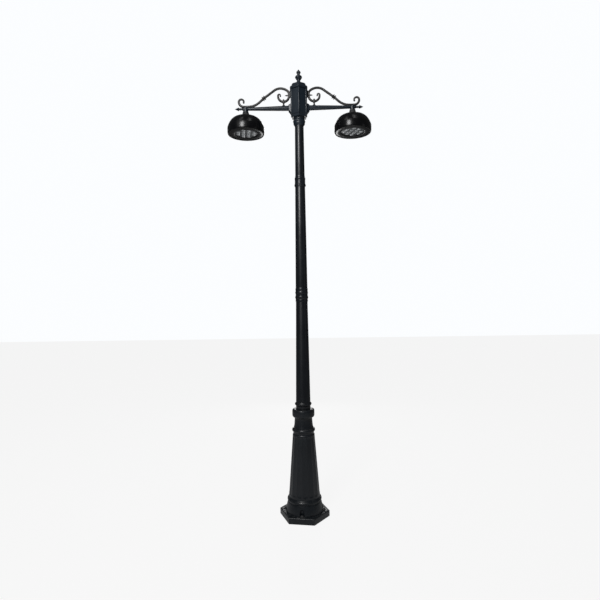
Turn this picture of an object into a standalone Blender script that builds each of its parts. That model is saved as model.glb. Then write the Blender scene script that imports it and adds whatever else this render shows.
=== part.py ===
"""A twin-arm ornamental lamp post, 3 m tall, as a Blender model in metres with +Z up.

The frame: the origin is on the ground at the centre of the foot, +Z runs up the post, and the two arms lie
along X. -Y is the front. Sizes in the profiles below are millimetres: (radius, height above the ground).
Every object is one piece of the post, as it would come apart on a bench.
"""

import math

import bmesh
import bpy
from mathutils import Matrix, Vector

MM = 0.001
GAP = 0.3                # clearance between pieces that touch

# Driving dimensions, in millimetres and degrees.
HEIGHT = 3000            # ground to the tip of the finial
FOOT_TURN = -7.7         # degrees: the head was turned on the pole when it was set up
FLANGE_CORNER = 168      # hexagonal foot flange, centre to corner
FLANGE_THICK = 39.5
BOLT_CIRCLE = 128        # radius of the four anchor bolts
BEAD_LOW = 115           # height of the bead round the foot
PEDESTAL_TOP = 588       # top face of the foot casting
FLUTES = 16
COLLAR_TOP = 714         # where the lower pole leaves the collar
LOWER_JOINT = (1433, 1527)   # bottom and top faces of the lower coupling
UPPER_JOINT = (2205, 2283)
POLE_TOP = 2616          # where the pole goes into the head
ARM_Z = 2740             # centre line of the arms
LAMP_X = 360             # lamp's turning axis, from the post's axis
HUB_BOTTOM = 2720
BLOCK_HALF = 52          # hexagonal head block, centre to face
BLOCK_BOTTOM = 2672
BLOCK_TOP = 2858
LAMP_RIM = 124           # largest radius of the lamp
LED_PITCH = 29
RIGHT_LAMP_TURN = 22     # the right lamp was screwed up at another angle than the left one
HATCH_BOTTOM = 240
HATCH_HEIGHT = 140
HATCH_WIDTH = 62
DOOR_THICK = 8

for old in list(bpy.data.objects):
    bpy.data.objects.remove(old, do_unlink=True)


# ---------------------------------------------------------------- materials

def finish(name, colour, roughness, metallic=0.0):
    """A plain Principled material."""
    material = bpy.data.materials.new(name)
    material.use_nodes = True
    shader = material.node_tree.nodes["Principled BSDF"]
    shader.inputs["Base Color"].default_value = (*colour, 1)
    shader.inputs["Roughness"].default_value = roughness
    shader.inputs["Metallic"].default_value = metallic
    return material


CAST_PAINT = finish("black powder-coated aluminium", (0.022, 0.028, 0.034), 0.38)
FORGED_PAINT = finish("dark grey painted scrollwork", (0.045, 0.047, 0.050), 0.45)
GLOSS_BLACK = finish("gloss black lamp housing", (0.004, 0.004, 0.005), 0.12)
STEEL = finish("galvanised steel", (0.42, 0.43, 0.44), 0.42, 1.0)
BARE_ALUMINIUM = finish("bare aluminium", (0.60, 0.61, 0.62), 0.35, 1.0)
CLEAR_LENS = finish("clear lens", (0.55, 0.58, 0.58), 0.10)
BOARD_WHITE = finish("white circuit board", (0.75, 0.76, 0.74), 0.5)
GREY_PLASTIC = finish("grey plastic box", (0.35, 0.36, 0.37), 0.5)
CABLE_BLACK = finish("black cable sheath", (0.015, 0.015, 0.016), 0.55)


# ---------------------------------------------------------------- modelling tools

def frame_empty(name, x=0.0, turn=0.0):
    """An empty on a vertical axis, which carries the pieces that share it."""
    empty = bpy.data.objects.new(name, None)
    bpy.context.scene.collection.objects.link(empty)
    empty.location = (x * MM, 0, 0)
    empty.rotation_euler = (0, 0, math.radians(turn))
    return empty


def finished(name, bm, material, parent=None, place=None):
    """Turns the bmesh, in millimetres, into an object of the scene."""
    if place is not None:
        bm.transform(place)
    bm.transform(Matrix.Scale(MM, 4))
    bmesh.ops.remove_doubles(bm, verts=bm.verts, dist=1e-6)
    bmesh.ops.recalc_face_normals(bm, faces=bm.faces)
    mesh = bpy.data.meshes.new(name)
    bm.to_mesh(mesh)
    bm.free()
    mesh.shade_smooth()
    mesh.set_sharp_from_angle(angle=math.radians(35))
    mesh.materials.append(material)
    piece = bpy.data.objects.new(name, mesh)
    bpy.context.scene.collection.objects.link(piece)
    piece.parent = parent
    return piece


def helper(piece):
    """Marks a cutter or a filler that isn't a piece itself."""
    piece.hide_render = True
    piece.display_type = "WIRE"
    return piece


def combined(piece, other, operation):
    """A Boolean modifier. All the meshes here are closed, which the Manifold solver needs."""
    modifier = piece.modifiers.new(operation.title() + " " + other.name, "BOOLEAN")
    modifier.operation = operation
    modifier.solver = "MANIFOLD"
    modifier.object = helper(other)
    return piece


def cut(piece, *cutters):
    for cutter in cutters:
        combined(piece, cutter, "DIFFERENCE")
    return piece


def joined(piece, *others):
    for other in others:
        combined(piece, other, "UNION")
    return piece


def turned(name, profile, material, sides=24, tube=False, parent=None, place=None):
    """A solid of revolution. An open profile starts and ends on the axis; a tube's goes right round."""
    bm = bmesh.new()
    verts = [bm.verts.new((radius, 0, z)) for radius, z in profile]
    edges = [bm.edges.new(pair) for pair in zip(verts, verts[1:])]
    if tube:
        edges.append(bm.edges.new((verts[-1], verts[0])))
    bmesh.ops.spin(
        bm, geom=verts + edges, axis=(0, 0, 1), cent=(0, 0, 0),
        angle=math.tau, steps=sides, use_merge=True,
    )
    bmesh.ops.remove_doubles(bm, verts=bm.verts, dist=1e-4)
    return finished(name, bm, material, parent, place)


def lofted(name, rings, material, ring_again=False, parent=None, place=None):
    """Skins rings of equally many points; the ends are capped, or the last ring runs back into the first."""
    bm = bmesh.new()
    rows = [[bm.verts.new(point) for point in ring] for ring in rings]
    count = len(rows[0])
    pairs = list(zip(rows, rows[1:]))
    if ring_again:
        pairs.append((rows[-1], rows[0]))
    for low, high in pairs:
        for i in range(count):
            j = (i + 1) % count
            bm.faces.new((low[i], low[j], high[j], high[i]))
    if not ring_again:
        bm.faces.new(list(reversed(rows[0])))
        bm.faces.new(rows[-1])
    return finished(name, bm, material, parent, place)


def box(name, size, centre, material, parent=None, place=None):
    bm = bmesh.new()
    bmesh.ops.create_cube(bm, size=1.0)
    bm.transform(Matrix.Translation(centre) @ Matrix.Diagonal((*size, 1)))
    return finished(name, bm, material, parent, place)


def arc(centre_r, centre_z, half_r, half_z, start, end, steps):
    """Points of an ellipse's arc in a profile, from one angle to another, in degrees."""
    points = []
    for i in range(steps + 1):
        angle = math.radians(start + (end - start) * i / steps)
        points.append((centre_r + half_r * math.cos(angle), centre_z + half_z * math.sin(angle)))
    return points


def hexagon(half, z, corner_at=90.0):
    """Six corners round the axis, the half width being from the centre to a face."""
    corner = half / math.cos(math.radians(30))
    angles = [math.radians(corner_at + 60 * i) for i in range(6)]
    return [(corner * math.cos(a), corner * math.sin(a), z) for a in angles]


def laid_along_x(x, z):
    """The place of a turned piece whose own axis, Z, lies along +X at height z, from x outwards."""
    return Matrix.Translation((x, 0, z)) @ Matrix.Rotation(math.radians(90), 4, "Y")


def mirrored(side, place=None):
    """The same place on the left (-1) or the right (+1) of the post."""
    flip = Matrix.Diagonal((side, 1, 1, 1))
    return flip if place is None else flip @ place


# ---------------------------------------------------------------- the foot casting

FOOT = frame_empty("foot_frame", turn=FOOT_TURN)

SKIRT_RADIUS = 127       # where the skirt meets the flange
BODY_LOW = (104, 142)    # radius and height at the foot of the fluted body
BODY_HIGH = (73.5, 545)
FLUTE_DEPTH = 2.2
POINTS_PER_FLUTE = 3


def flute_shape(step):
    """How deep the hollow is at each of a flute's points, from its arris on."""
    return math.sin(math.pi * step / POINTS_PER_FLUTE)


def pedestal_ring(radius, z, depth=0.0):
    count = FLUTES * POINTS_PER_FLUTE
    ring = []
    for i in range(count):
        angle = math.tau * i / count
        r = radius - depth * flute_shape(i % POINTS_PER_FLUTE)
        ring.append((r * math.cos(angle), r * math.sin(angle), z))
    return ring


def body_radius(z):
    """Outer radius of the fluted body, which tapers straight."""
    (r0, z0), (r1, z1) = BODY_LOW, BODY_HIGH
    return r0 + (r1 - r0) * (z - z0) / (z1 - z0)


def pedestal_rings():
    """The skirt, its bead, the fluted body and the top bead, from the flange upwards."""
    skirt = arc(SKIRT_RADIUS + 5, 98, 21, 64, 256, 180, 3)
    low_bead = arc(105.5, BEAD_LOW, 9.2, 11, -60, 70, 4)
    rings = [pedestal_ring(r, z) for r, z in [(SKIRT_RADIUS, 20)] + skirt[:-1] + low_bead]
    rings.append(pedestal_ring(107.5, 131))
    rings.append(pedestal_ring(*BODY_LOW))
    for z in (160, 520):
        rings.append(pedestal_ring(body_radius(z), z, FLUTE_DEPTH))
    rings.append(pedestal_ring(*BODY_HIGH))
    top_bead = arc(68, 575, 9, 11, -75, 75, 4)
    rings += [pedestal_ring(r, z) for r, z in [(69.5, 554), (69.5, 562)] + top_bead]
    rings.append(pedestal_ring(67, PEDESTAL_TOP))
    return rings


def anchor_spots():
    """The four anchor bolts stand square to each other, two at flats and two at corners of the flange."""
    return [
        (BOLT_CIRCLE * math.cos(math.radians(a)), BOLT_CIRCLE * math.sin(math.radians(a)))
        for a in (270, 0, 90, 180)
    ]


BOLT_HOLE = 7
BOSS_Y = -67.8           # face of the two bosses inside that the terminal box's bracket is screwed to
POCKET = 16.5            # arched pocket in the skirt round each anchor bolt


def make_foot_casting():
    """One hollow casting: hexagonal flange, round skirt and fluted body, with a window at the back."""
    casting = lofted("foot_casting", pedestal_rings(), CAST_PAINT, parent=FOOT)
    half = FLANGE_CORNER * math.cos(math.radians(30))
    flange = lofted(
        "flange_blank",
        [hexagon(half, 0, 0), hexagon(half, FLANGE_THICK - 5, 0), hexagon(half - 4, FLANGE_THICK, 0)],
        CAST_PAINT, parent=FOOT,
    )
    joined(casting, flange)
    cavity = turned(
        "foot_cavity",
        [(0, -10), (100, -10), (100, 105), (94, 150), (body_radius(520) - 9, 520), (55.5, 536),
         (55.5, PEDESTAL_TOP + 10), (0, PEDESTAL_TOP + 10)],
        CAST_PAINT, parent=FOOT,
    )
    cut(casting, cavity)
    for n, (x, y) in enumerate(anchor_spots()):
        move = Matrix.Translation((x, y, 0))
        top = arc(0, 70, POCKET, POCKET, 0, 90, 3)
        pocket = turned(
            f"anchor_pocket_{n}", [(0, FLANGE_THICK), (POCKET, FLANGE_THICK)] + top, CAST_PAINT, 12,
            parent=FOOT, place=move,
        )
        hole = turned(
            f"anchor_hole_{n}", [(0, -5), (BOLT_HOLE, -5), (BOLT_HOLE, 60), (0, 60)], CAST_PAINT, 12,
            parent=FOOT, place=move,
        )
        cut(casting, pocket, hole)
    window = rounded_block("hatch_window", HATCH_WIDTH, HATCH_HEIGHT, 0)
    cut(casting, window)
    lug_boss = box("lug_boss", (20, 14, 14), (0, LUG_Y + 14, SCREW_Z + 27), CAST_PAINT, parent=FOOT)
    low_boss = box("low_boss", (30, 24, 16), (0, BOSS_Y - 12, 245), CAST_PAINT, parent=FOOT)
    high_boss = box("high_boss", (30, 12, 16), (0, BOSS_Y - 6, 415), CAST_PAINT, parent=FOOT)
    return joined(casting, lug_boss, low_boss, high_boss)


# ---------------------------------------------------------------- the hatch at the back of the foot

HATCH_MIDDLE = HATCH_BOTTOM + HATCH_HEIGHT / 2
SCREW_Z = HATCH_BOTTOM + HATCH_HEIGHT - 18
LUG_Y = 63
DOOR_GAP = 1.2
HATCH_CORNER = 12


def rounded_block(name, width, height, shrink, near=40, far=140):
    """A block through the back wall with rounded corners, smaller by shrink all round."""
    half_w, half_h = width / 2 - shrink, height / 2 - shrink
    corner = HATCH_CORNER - shrink
    outline = []
    for start, sx, sz in ((0, 1, 1), (90, -1, 1), (180, -1, -1), (270, 1, -1)):
        cx, cz = sx * (half_w - corner), HATCH_MIDDLE + sz * (half_h - corner)
        outline += arc(cx, cz, corner, corner, start, start + 90, 3)
    rings = [[(x, y, z) for x, z in outline] for y in (near, far)]
    return lofted(name, rings, CAST_PAINT, parent=FOOT)


def make_hatch():
    """The door is a piece of the fluted wall, and a captive screw holds it to a lug inside the post."""
    rings = []
    for z in (HATCH_BOTTOM - 20, HATCH_BOTTOM + HATCH_HEIGHT + 20):
        rings.append(pedestal_ring(body_radius(z), z, FLUTE_DEPTH))
    heights = (HATCH_BOTTOM + HATCH_HEIGHT + 20, HATCH_BOTTOM - 20)
    inner = [pedestal_ring(body_radius(z) - DOOR_THICK, z) for z in heights]
    door = lofted("hatch_door", rings + inner, CAST_PAINT, ring_again=True, parent=FOOT)
    combined(door, rounded_block("door_outline", HATCH_WIDTH, HATCH_HEIGHT, DOOR_GAP), "INTERSECT")
    along_y = Matrix.Translation((0, 0, SCREW_Z)) @ Matrix.Rotation(math.radians(-90), 4, "X")
    face = body_radius(SCREW_Z)
    cut(door, turned(
        "door_screw_hole",
        [(0, 30), (4.4, 30), (4.4, face - 5), (9.5, face - 5), (9.5, face + 20), (0, face + 20)],
        CAST_PAINT, 16, parent=FOOT, place=along_y,
    ))
    triangle_key = lofted(
        "key_socket",
        [[(4 * math.cos(math.radians(a)), 4 * math.sin(math.radians(a)), h) for a in (90, 210, 330)]
         for h in (face - 3, face + 5)],
        STEEL, parent=FOOT, place=along_y,
    )
    screw = turned(
        "hatch_screw",
        [(0, LUG_Y - 14), (2.4, LUG_Y - 14), (3.2, LUG_Y - 11), (3.2, face - 12), (3.9, face - 12),
         (3.9, face - 4.6), (9, face - 4.6), (9, face - 1.2), (8, face - 0.4), (0, face - 0.4)],
        STEEL, 16, parent=FOOT, place=along_y,
    )
    cut(screw, triangle_key)


def make_screw_lug():
    """The steel tongue that hangs from a boss above the window and takes the door's screw."""
    thick = 6
    lug = box("screw_lug", (22, thick, 48), (0, LUG_Y + 3.6, SCREW_Z + 12), STEEL, parent=FOOT)
    hole = turned(
        "lug_hole", [(0, 30), (4.3, 30), (4.3, 130), (0, 130)], STEEL, 8, parent=FOOT,
        place=Matrix.Translation((0, 0, SCREW_Z)) @ Matrix.Rotation(math.radians(-90), 4, "X"),
    )
    return cut(lug, hole)


def make_anchor_bolts():
    """Four hexagon-head bolts with their flanges, in the skirt's pockets, without the part in the ground."""
    for n, (x, y) in enumerate(anchor_spots(), 1):
        place = Matrix.Translation((x, y, 0))
        bolt = turned(
            f"anchor_bolt_{n}",
            [(0, 1), (6, 1), (6, FLANGE_THICK + GAP), (12, FLANGE_THICK + GAP), (12, FLANGE_THICK + 2.5),
             (8, FLANGE_THICK + 4), (0, FLANGE_THICK + 4)],
            STEEL, 12, parent=FOOT, place=place,
        )
        head = lofted(
            f"bolt_head_{n}",
            [hexagon(half, FLANGE_THICK + z) for half, z in ((9.5, 3), (9.5, 10), (8, 11.5))],
            STEEL, parent=FOOT, place=place,
        )
        joined(bolt, head)


def make_gear_inside_foot():
    """The terminal box that joins the supply to the lamp cable, on a steel strap across two bosses."""
    box("gear_strap", (30, 3, 190), (0, BOSS_Y + GAP + 1.5, 330), STEEL, parent=FOOT)
    terminal = box("terminal_box", (64, 34, 96), (0, -47.2, 305), GREY_PLASTIC, parent=FOOT)
    lid = box("terminal_lid", (58, 4, 90), (0, -29.5, 305), GREY_PLASTIC, parent=FOOT)
    gland = turned(
        "terminal_gland",
        [(0, 350), (10, 350), (10, 360), (8, 361), (8, 370), (0, 370)], GREY_PLASTIC, 12,
        parent=FOOT, place=Matrix.Translation((0, -46, 0)),
    )
    gland_bore = turned(
        "gland_bore", [(0, 340), (5, 340), (5, 380), (0, 380)], GREY_PLASTIC, 12,
        parent=FOOT, place=Matrix.Translation((0, -46, 0)),
    )
    joined(terminal, lid, gland)
    cut(terminal, gland_bore)


# ---------------------------------------------------------------- the pole

WALL = 4.5               # wall of the pole tubes
SPIGOT_LOW = 33.5        # the sections plug into the couplings on spigots
SPIGOT_HIGH = 27.5
FIT = 0.7                # clearance round a spigot, its facets and the bore's being out of step
TENON = 28.3             # top of the pole, which the head turns on


def make_collar_casting():
    """The neck and the round collar that carry the pole on the foot."""
    neck = [(66, PEDESTAL_TOP + GAP), (63.5, 600), (61, 622), (58.5, 652)]
    ring = arc(64, 676, 10.5, 16, -70, 0, 4) + [(74.5, 706), (71.5, 712), (60, COLLAR_TOP)]
    bore = [(44.5, COLLAR_TOP), (44.5, 656), (40, 650), (40, 545)]
    turned(
        "collar_casting", [(54.4, 545), (54.4, PEDESTAL_TOP + GAP)] + neck + ring + bore,
        CAST_PAINT, 24, tube=True,
    )


def pole_section(name, bottom, top, outer, lower_spigot, upper_spigot, rings=()):
    """A tapered tube with a spigot at each end. outer is its radius at the bottom and at the top."""
    (spigot_r, spigot_z), (tip_r, tip_z) = lower_spigot, upper_spigot
    outside = [(spigot_r, spigot_z), (spigot_r, bottom), (outer[0], bottom), *rings, (outer[1], top),
               (tip_r, top), (tip_r, tip_z)]
    inside = [(tip_r - WALL, tip_z), (spigot_r - WALL, spigot_z)]
    return turned(name, outside + inside, CAST_PAINT, tube=True)


def make_pole():
    lower_bottom, lower_top = LOWER_JOINT
    upper_bottom, upper_top = UPPER_JOINT
    pole_section(
        "lower_pole", COLLAR_TOP + GAP, lower_bottom - GAP, (49.3, 39.2), (44, 657), (SPIGOT_LOW, 1479),
        rings=arc(48.5, 748, 7.5, 9, -80, 80, 4),
    )
    pole_section(
        "middle_pole", lower_top + GAP, upper_bottom - GAP, (39.6, 33.4), (SPIGOT_LOW, 1481), (SPIGOT_HIGH, 2243),
    )
    pole_section(
        "upper_pole", upper_top + GAP, POLE_TOP, (31.6, 29.4), (SPIGOT_HIGH, 2245), (TENON, 2684),
    )


def make_couplings():
    """Cast sleeves with turned beads, where two lengths of pole meet."""
    bottom, top = LOWER_JOINT
    beads = [(40, bottom), (41.3, bottom + 5), (41.3, bottom + 14), (40.2, bottom + 18)]
    beads += arc(40, bottom + 31, 3.8, 9, -70, 70, 4)
    beads.append((41, bottom + 50))
    beads += arc(40, bottom + 63, 3, 7, -60, 60, 3)
    beads += [(40.4, bottom + 74), (41.5, bottom + 79), (41.5, bottom + 87), (40.2, top)]
    bore = [(SPIGOT_LOW + FIT, top), (SPIGOT_LOW + FIT, bottom)]
    turned("lower_coupling", beads + bore, CAST_PAINT, 20, tube=True)
    bottom, top = UPPER_JOINT
    beads = [(34, bottom)] + arc(33.5, bottom + 13, 5, 8, -80, 60, 4)
    beads += [(35.2, bottom + 26), (34.8, bottom + 46)]
    beads += arc(32.5, bottom + 57, 3.7, 8, -50, 80, 4) + [(32.2, top)]
    bore = [(SPIGOT_HIGH + FIT, top), (SPIGOT_HIGH + FIT, bottom)]
    turned("upper_coupling", beads + bore, CAST_PAINT, 20, tube=True)


# ---------------------------------------------------------------- the head

SOCKET_BORE = 29.2
SPIGOT_IN_BLOCK = 34


def make_head_socket():
    """The turned socket on the pole's top, which can be turned there until its two screws are tight."""
    outside = [(30, POLE_TOP + GAP), (33.5, 2625), (37.6, 2632), (38, 2641)]
    outside += arc(36, 2653, 5.2, 8, -60, 75, 4)
    seat = BLOCK_BOTTOM - GAP
    outside += [(36.6, 2664), (38.5, 2667), (38.5, seat), (SPIGOT_IN_BLOCK, seat)]
    inside = [(SPIGOT_IN_BLOCK, 2699), (10, 2699), (10, 2687)]
    inside += [(SOCKET_BORE, 2687), (SOCKET_BORE, POLE_TOP + GAP)]
    socket = turned("head_socket", outside + inside, CAST_PAINT, 22, tube=True)
    for n, angle in enumerate((60, 240), 1):
        place = (
            Matrix.Rotation(math.radians(angle), 4, "Z")
            @ Matrix.Translation((0, 0, 2653)) @ Matrix.Rotation(math.radians(90), 4, "Y")
        )
        hole = turned(f"socket_hole_{n}", [(0, 20), (3.4, 20), (3.4, 50), (0, 50)], CAST_PAINT, 12, place=place)
        cut(socket, hole)
        screw = turned(
            f"head_set_screw_{n}", [(0, TENON + 0.4), (2, TENON + 0.4), (3, TENON + 1.5), (3, 40), (0, 40)],
            STEEL, 12, place=place,
        )
        key = lofted(f"set_screw_key_{n}", [hexagon(1.5, 36), hexagon(1.5, 45)], STEEL, place=place)
        cut(screw, key)


BEAD_RADIUS = 6.5        # round rib on each corner of the block


def block_outline(half, z, ribs=True):
    """A hexagon with a round rib on each corner, or with the corner cut flat in the ribs' place."""
    reach = BEAD_RADIUS if ribs else 1.0
    corner = (half - reach / 2) / math.cos(math.radians(30))
    points = []
    for i in range(6):
        a = math.radians(90 + 60 * i)
        cx, cy = corner * math.cos(a), corner * math.sin(a)
        for turn in (-90, -35, 35, 90):
            b = a + math.radians(turn)
            points.append((cx + reach * math.cos(b), cy + reach * math.sin(b), z))
    return points


def make_head_block():
    """The hexagonal box that the arms are bolted to, open at the top, with stepped mouldings under it."""
    base = BLOCK_HALF - 4.5
    rings = [block_outline(base - 3, BLOCK_BOTTOM, False), block_outline(base, BLOCK_BOTTOM + 4, False),
             block_outline(base, BLOCK_BOTTOM + 14, False), block_outline(base + 2, BLOCK_BOTTOM + 16, False),
             block_outline(BLOCK_HALF, BLOCK_BOTTOM + 18), block_outline(BLOCK_HALF, BLOCK_TOP)]
    block = lofted("head_block", rings, CAST_PAINT)
    hollow = lofted("block_hollow", [hexagon(BLOCK_HALF - 7, 2704), hexagon(BLOCK_HALF - 7, 2900)], CAST_PAINT)
    seat = turned(
        "socket_seat",
        [(0, 2660), (SPIGOT_IN_BLOCK + GAP, 2660), (SPIGOT_IN_BLOCK + GAP, 2699.5),
         (11, 2699.5), (11, 2710), (0, 2710)],
        CAST_PAINT, 32,
    )
    cable_hole = turned(
        "arm_cable_hole", [(0, -80), (9, -80), (9, 80), (0, 80)], CAST_PAINT, 16, place=laid_along_x(0, ARM_Z),
    )
    return cut(block, hollow, seat, cable_hole)


def make_head_cap():
    """A six-sided domed lid in two tiers, with a rim that drops into the block."""
    tiers = [(45 - GAP, 2846), (45 - GAP, BLOCK_TOP + GAP), (59, BLOCK_TOP + GAP), (60.5, 2862), (60.5, 2873)]
    tiers += [(57, 2882), (51.5, 2885), (51, 2890)]
    tiers += arc(29, 2890, 21, 18, 15, 82, 5)
    rings = [hexagon(half, z) for half, z in tiers] + [hexagon(16, 2909.5)]
    cap = lofted("head_cap", rings, CAST_PAINT)
    hollow = lofted("cap_hollow", [hexagon(40, 2840), hexagon(40, 2870), hexagon(24, 2890)], CAST_PAINT)
    stud_hole = turned("finial_hole", [(0, 2880), (4.3, 2880), (4.3, 2920), (0, 2920)], CAST_PAINT, 12)
    return cut(cap, hollow, stud_hole)


def make_finial():
    """The turned spike on the cap: foot, neck, ball and bud, screwed in by its stud."""
    profile = [(0, 2893), (3.9, 2893), (3.9, 2910), (15.5, 2910), (15.5, 2912.5)]
    profile += [(11.5, 2917), (10, 2925), (11.5, 2932), (15, 2934)]
    profile += arc(0, 2947, 21.5, 14, -48, 62, 5)
    profile += [(8, 2962), (7.6, 2968)]
    profile += arc(0, 2980, 12.5, 10.5, -40, 40, 3) + [(5.5, 2990), (0, HEIGHT)]
    turned("finial", profile, CAST_PAINT, 16)


# ---------------------------------------------------------------- the arms and their scrolls

ARM_ROOT = 66            # where the arm leaves its flange
ARM_RADII = (17, 9.6)    # at the flange and at the hub
HUB_RADIUS = 17.5
HUB_TOP = 2750
STEM_BORE = 10.4
CONSOLE = (              # the arm's root, outwards: x, half width, bottom and top
    (BLOCK_HALF + GAP, 21.5, 2697, 2767),
    (BLOCK_HALF + 4, 21.5, 2701, 2766),
    (66, 20, 2714, 2761),
    (71, 18.5, 2719, 2758),
)
BAR = 4.6                # radius of the scroll bars
KNOP_SHARE = 0.85        # how far down its straight the knop sits


def make_arm(name, side):
    """A tapered tube with its bolting flange and the hub that the lamp's stem goes up into."""
    length = LAMP_X - ARM_ROOT
    place = mirrored(side, laid_along_x(0, ARM_Z) @ Matrix.Rotation(math.radians(9), 4, "Z"))
    hub_place = mirrored(side, Matrix.Translation((LAMP_X, 0, 0)) @ Matrix.Rotation(math.radians(7.5), 4, "Z"))
    x0 = BLOCK_HALF + GAP
    profile = [(0, x0 + 4), (ARM_RADII[0] - 1, x0 + 4), (ARM_RADII[0], ARM_ROOT + 7),
               (ARM_RADII[1], ARM_ROOT + length), (0, ARM_ROOT + length)]
    arm = turned(name, profile, CAST_PAINT, 20, place=place)
    console = lofted(
        name + "_console",
        [plate_outline(x, half_w, low, high) for x, half_w, low, high in CONSOLE],
        CAST_PAINT, place=mirrored(side),
    )
    hub = turned(
        name + "_hub",
        [(0, HUB_BOTTOM), (HUB_RADIUS - 1.5, HUB_BOTTOM), (HUB_RADIUS, HUB_BOTTOM + 2), (HUB_RADIUS, HUB_TOP - 4),
         (HUB_RADIUS - 5, HUB_TOP), (0, HUB_TOP)],
        CAST_PAINT, 18, place=hub_place,
    )
    joined(arm, console, hub)
    bore = turned(
        name + "_bore", [(0, 40), (6, 40), (6, LAMP_X), (0, LAMP_X)], CAST_PAINT, 12, place=place,
    )
    stem_bore = turned(
        name + "_stem_bore", [(0, 2700), (STEM_BORE, 2700), (STEM_BORE, 2746), (0, 2746)], CAST_PAINT, 18,
        place=hub_place,
    )
    tip_hole = turned(
        name + "_tip_hole", [(0, LAMP_X + 4), (3.3, LAMP_X + 4), (3.3, LAMP_X + 30), (0, LAMP_X + 30)],
        CAST_PAINT, 12, place=place,
    )
    screw_place = mirrored(side, Matrix.Translation((LAMP_X, 0, 2733)) @ Matrix.Rotation(math.radians(90), 4, "X"))
    screw_hole = turned(
        name + "_screw_hole", [(0, 5), (2.9, 5), (2.9, 30), (0, 30)], CAST_PAINT, 12, place=screw_place,
    )
    cut(arm, bore, stem_bore, tip_hole, screw_hole)
    screw = turned(
        name.replace("arm", "hub_screw"), [(0, 10.5), (2, 10.5), (2.5, 11.5), (2.5, 16.6), (0, 16.6)],
        STEEL, 12, place=screw_place,
    )
    key = lofted(name + "_screw_key", [hexagon(1.25, 14), hexagon(1.25, 20)], STEEL, place=screw_place)
    cut(screw, key)


def plate_outline(x, half_w, low, high):
    """A section across the console: a plate with round corners."""
    corner = 8
    outline = []
    top, bottom = high - corner, low + corner
    for start, sy, z in ((0, 1, top), (90, -1, top), (180, -1, bottom), (270, 1, bottom)):
        outline += arc(sy * (half_w - corner), z, corner, corner, start, start + 90, 3)
    return [(x, y, z) for y, z in outline]


def make_arm_tip(name, side):
    """The spear screwed into the end of the arm."""
    profile = [(0, 366), (3, 366), (3, 378.2), (9.5, 378.2), (9.5, 383), (6.5, 386), (6.5, 393), (8.2, 396),
               (8.2, 399), (4.5, 402), (4.5, 407), (8.6, 414), (7.2, 419), (0, 433)]
    turned(name, profile, CAST_PAINT, 12, place=mirrored(side, laid_along_x(0, ARM_Z)))


def bent_line(x, z, heading, bends, step=20):
    """Centre line of a bar bent in the XZ plane. Each bend is (radius, degrees), or (length, 0) for a straight."""
    line = [(x, z, heading)]
    for size, turn in bends:
        if turn == 0:
            a = math.radians(heading)
            x, z = x + size * math.cos(a), z + size * math.sin(a)
            line.append((x, z, heading))
            continue
        count = max(1, round(abs(turn) / step))
        for _ in range(count):
            a = math.radians(heading)
            b = math.radians(heading + turn / count)
            swing = size if turn > 0 else -size
            x += swing * (math.sin(b) - math.sin(a))
            z += swing * (math.cos(a) - math.cos(b))
            heading += turn / count
            line.append((x, z, heading))
    return line


def knob_end(x, z, heading, radius):
    """The stations of the ball that ends a scroll bar, each with its own radius."""
    a = math.radians(heading)
    stations = []
    for angle in (35, 75, 115, 155):
        along = radius * (math.cos(math.radians(35)) - math.cos(math.radians(angle)))
        across = radius * math.sin(math.radians(angle))
        stations.append((x + along * math.cos(a), z + along * math.sin(a), heading, across))
    return stations


def swept_bar(name, stations, material, place, sides=8):
    """A round bar along stations (x, z, heading, radius) in the XZ plane."""
    rings = []
    for x, z, heading, radius in stations:
        a = math.radians(heading + 90)
        ring = []
        for k in range(sides):
            b = math.tau * (k + 0.5) / sides
            out = radius * math.cos(b)
            ring.append((x + out * math.cos(a), radius * math.sin(b), z + out * math.sin(a)))
        rings.append(ring)
    return lofted(name, rings, material, place=place)


PAD_FACE = 62            # outer face of the pad between the head block and the scroll
SCROLL_FLAT = 335        # the scroll lies on the arm from here outwards


def arm_radius(x):
    """Radius of the arm's taper."""
    share = (x - ARM_ROOT - 7) / (LAMP_X - ARM_ROOT - 7)
    return ARM_RADII[0] + (ARM_RADII[1] - ARM_RADII[0]) * share


def scroll_line():
    """One bar: the inner curl, down and round by the block, over in an S, along the arm, and the outer curl."""
    inner = [(7.9, -180), (6, 0), (37, -90), (36, -90), (17, 0), (26, -50), (75, -40)]
    slope = [(70, -36), (75, 0), (300, -6), (21, 0), (110, 42)]
    outer = [(30, 0), (36, 90), (20, 165), (13, 35)]
    line = bent_line(124.9, 2827, 90, inner + slope + outer)
    flat = next(i for i, (x, z, heading) in enumerate(line) if x > SCROLL_FLAT and round(heading) % 360 == 0)
    shift_x = PAD_FACE + GAP + BAR - min(x for x, z, heading in line)
    shift_z = ARM_Z + arm_radius(SCROLL_FLAT) + GAP + BAR - line[flat][1]
    return [(x + shift_x, z + shift_z, heading) for x, z, heading in line]


def make_scroll(name, side):
    """The scroll bar with a ball on each end, and the thorn that grows from it beside the block."""
    line = scroll_line()
    bar = [(x, z, heading, BAR) for x, z, heading in line[1:-1]]
    x, z, heading = line[0]
    start = [(px, pz, ph - 180, pr) for px, pz, ph, pr in knob_end(x, z, heading + 180, BAR + 0.8)]
    x, z, heading = line[-1]
    stations = start[::-1] + bar + knob_end(x, z, heading, BAR + 1)
    scroll = swept_bar(name, stations, FORGED_PAINT, mirrored(side))
    thorn_x = PAD_FACE + GAP + BAR
    thorn = turned(
        name + "_thorn", [(0, 0), (3.2, 0), (2.6, 7), (5, 12), (3.6, 18), (0, 29)], FORGED_PAINT, 8,
        place=mirrored(side, laid_along_x(thorn_x, 2826)),
    )
    return joined(scroll, thorn)


def scroll_low_point():
    """Where the scroll is lowest beside the block, over the arm."""
    x, z, heading = min((station for station in scroll_line() if station[0] < 150), key=lambda s: s[1])
    return x, z


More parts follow.
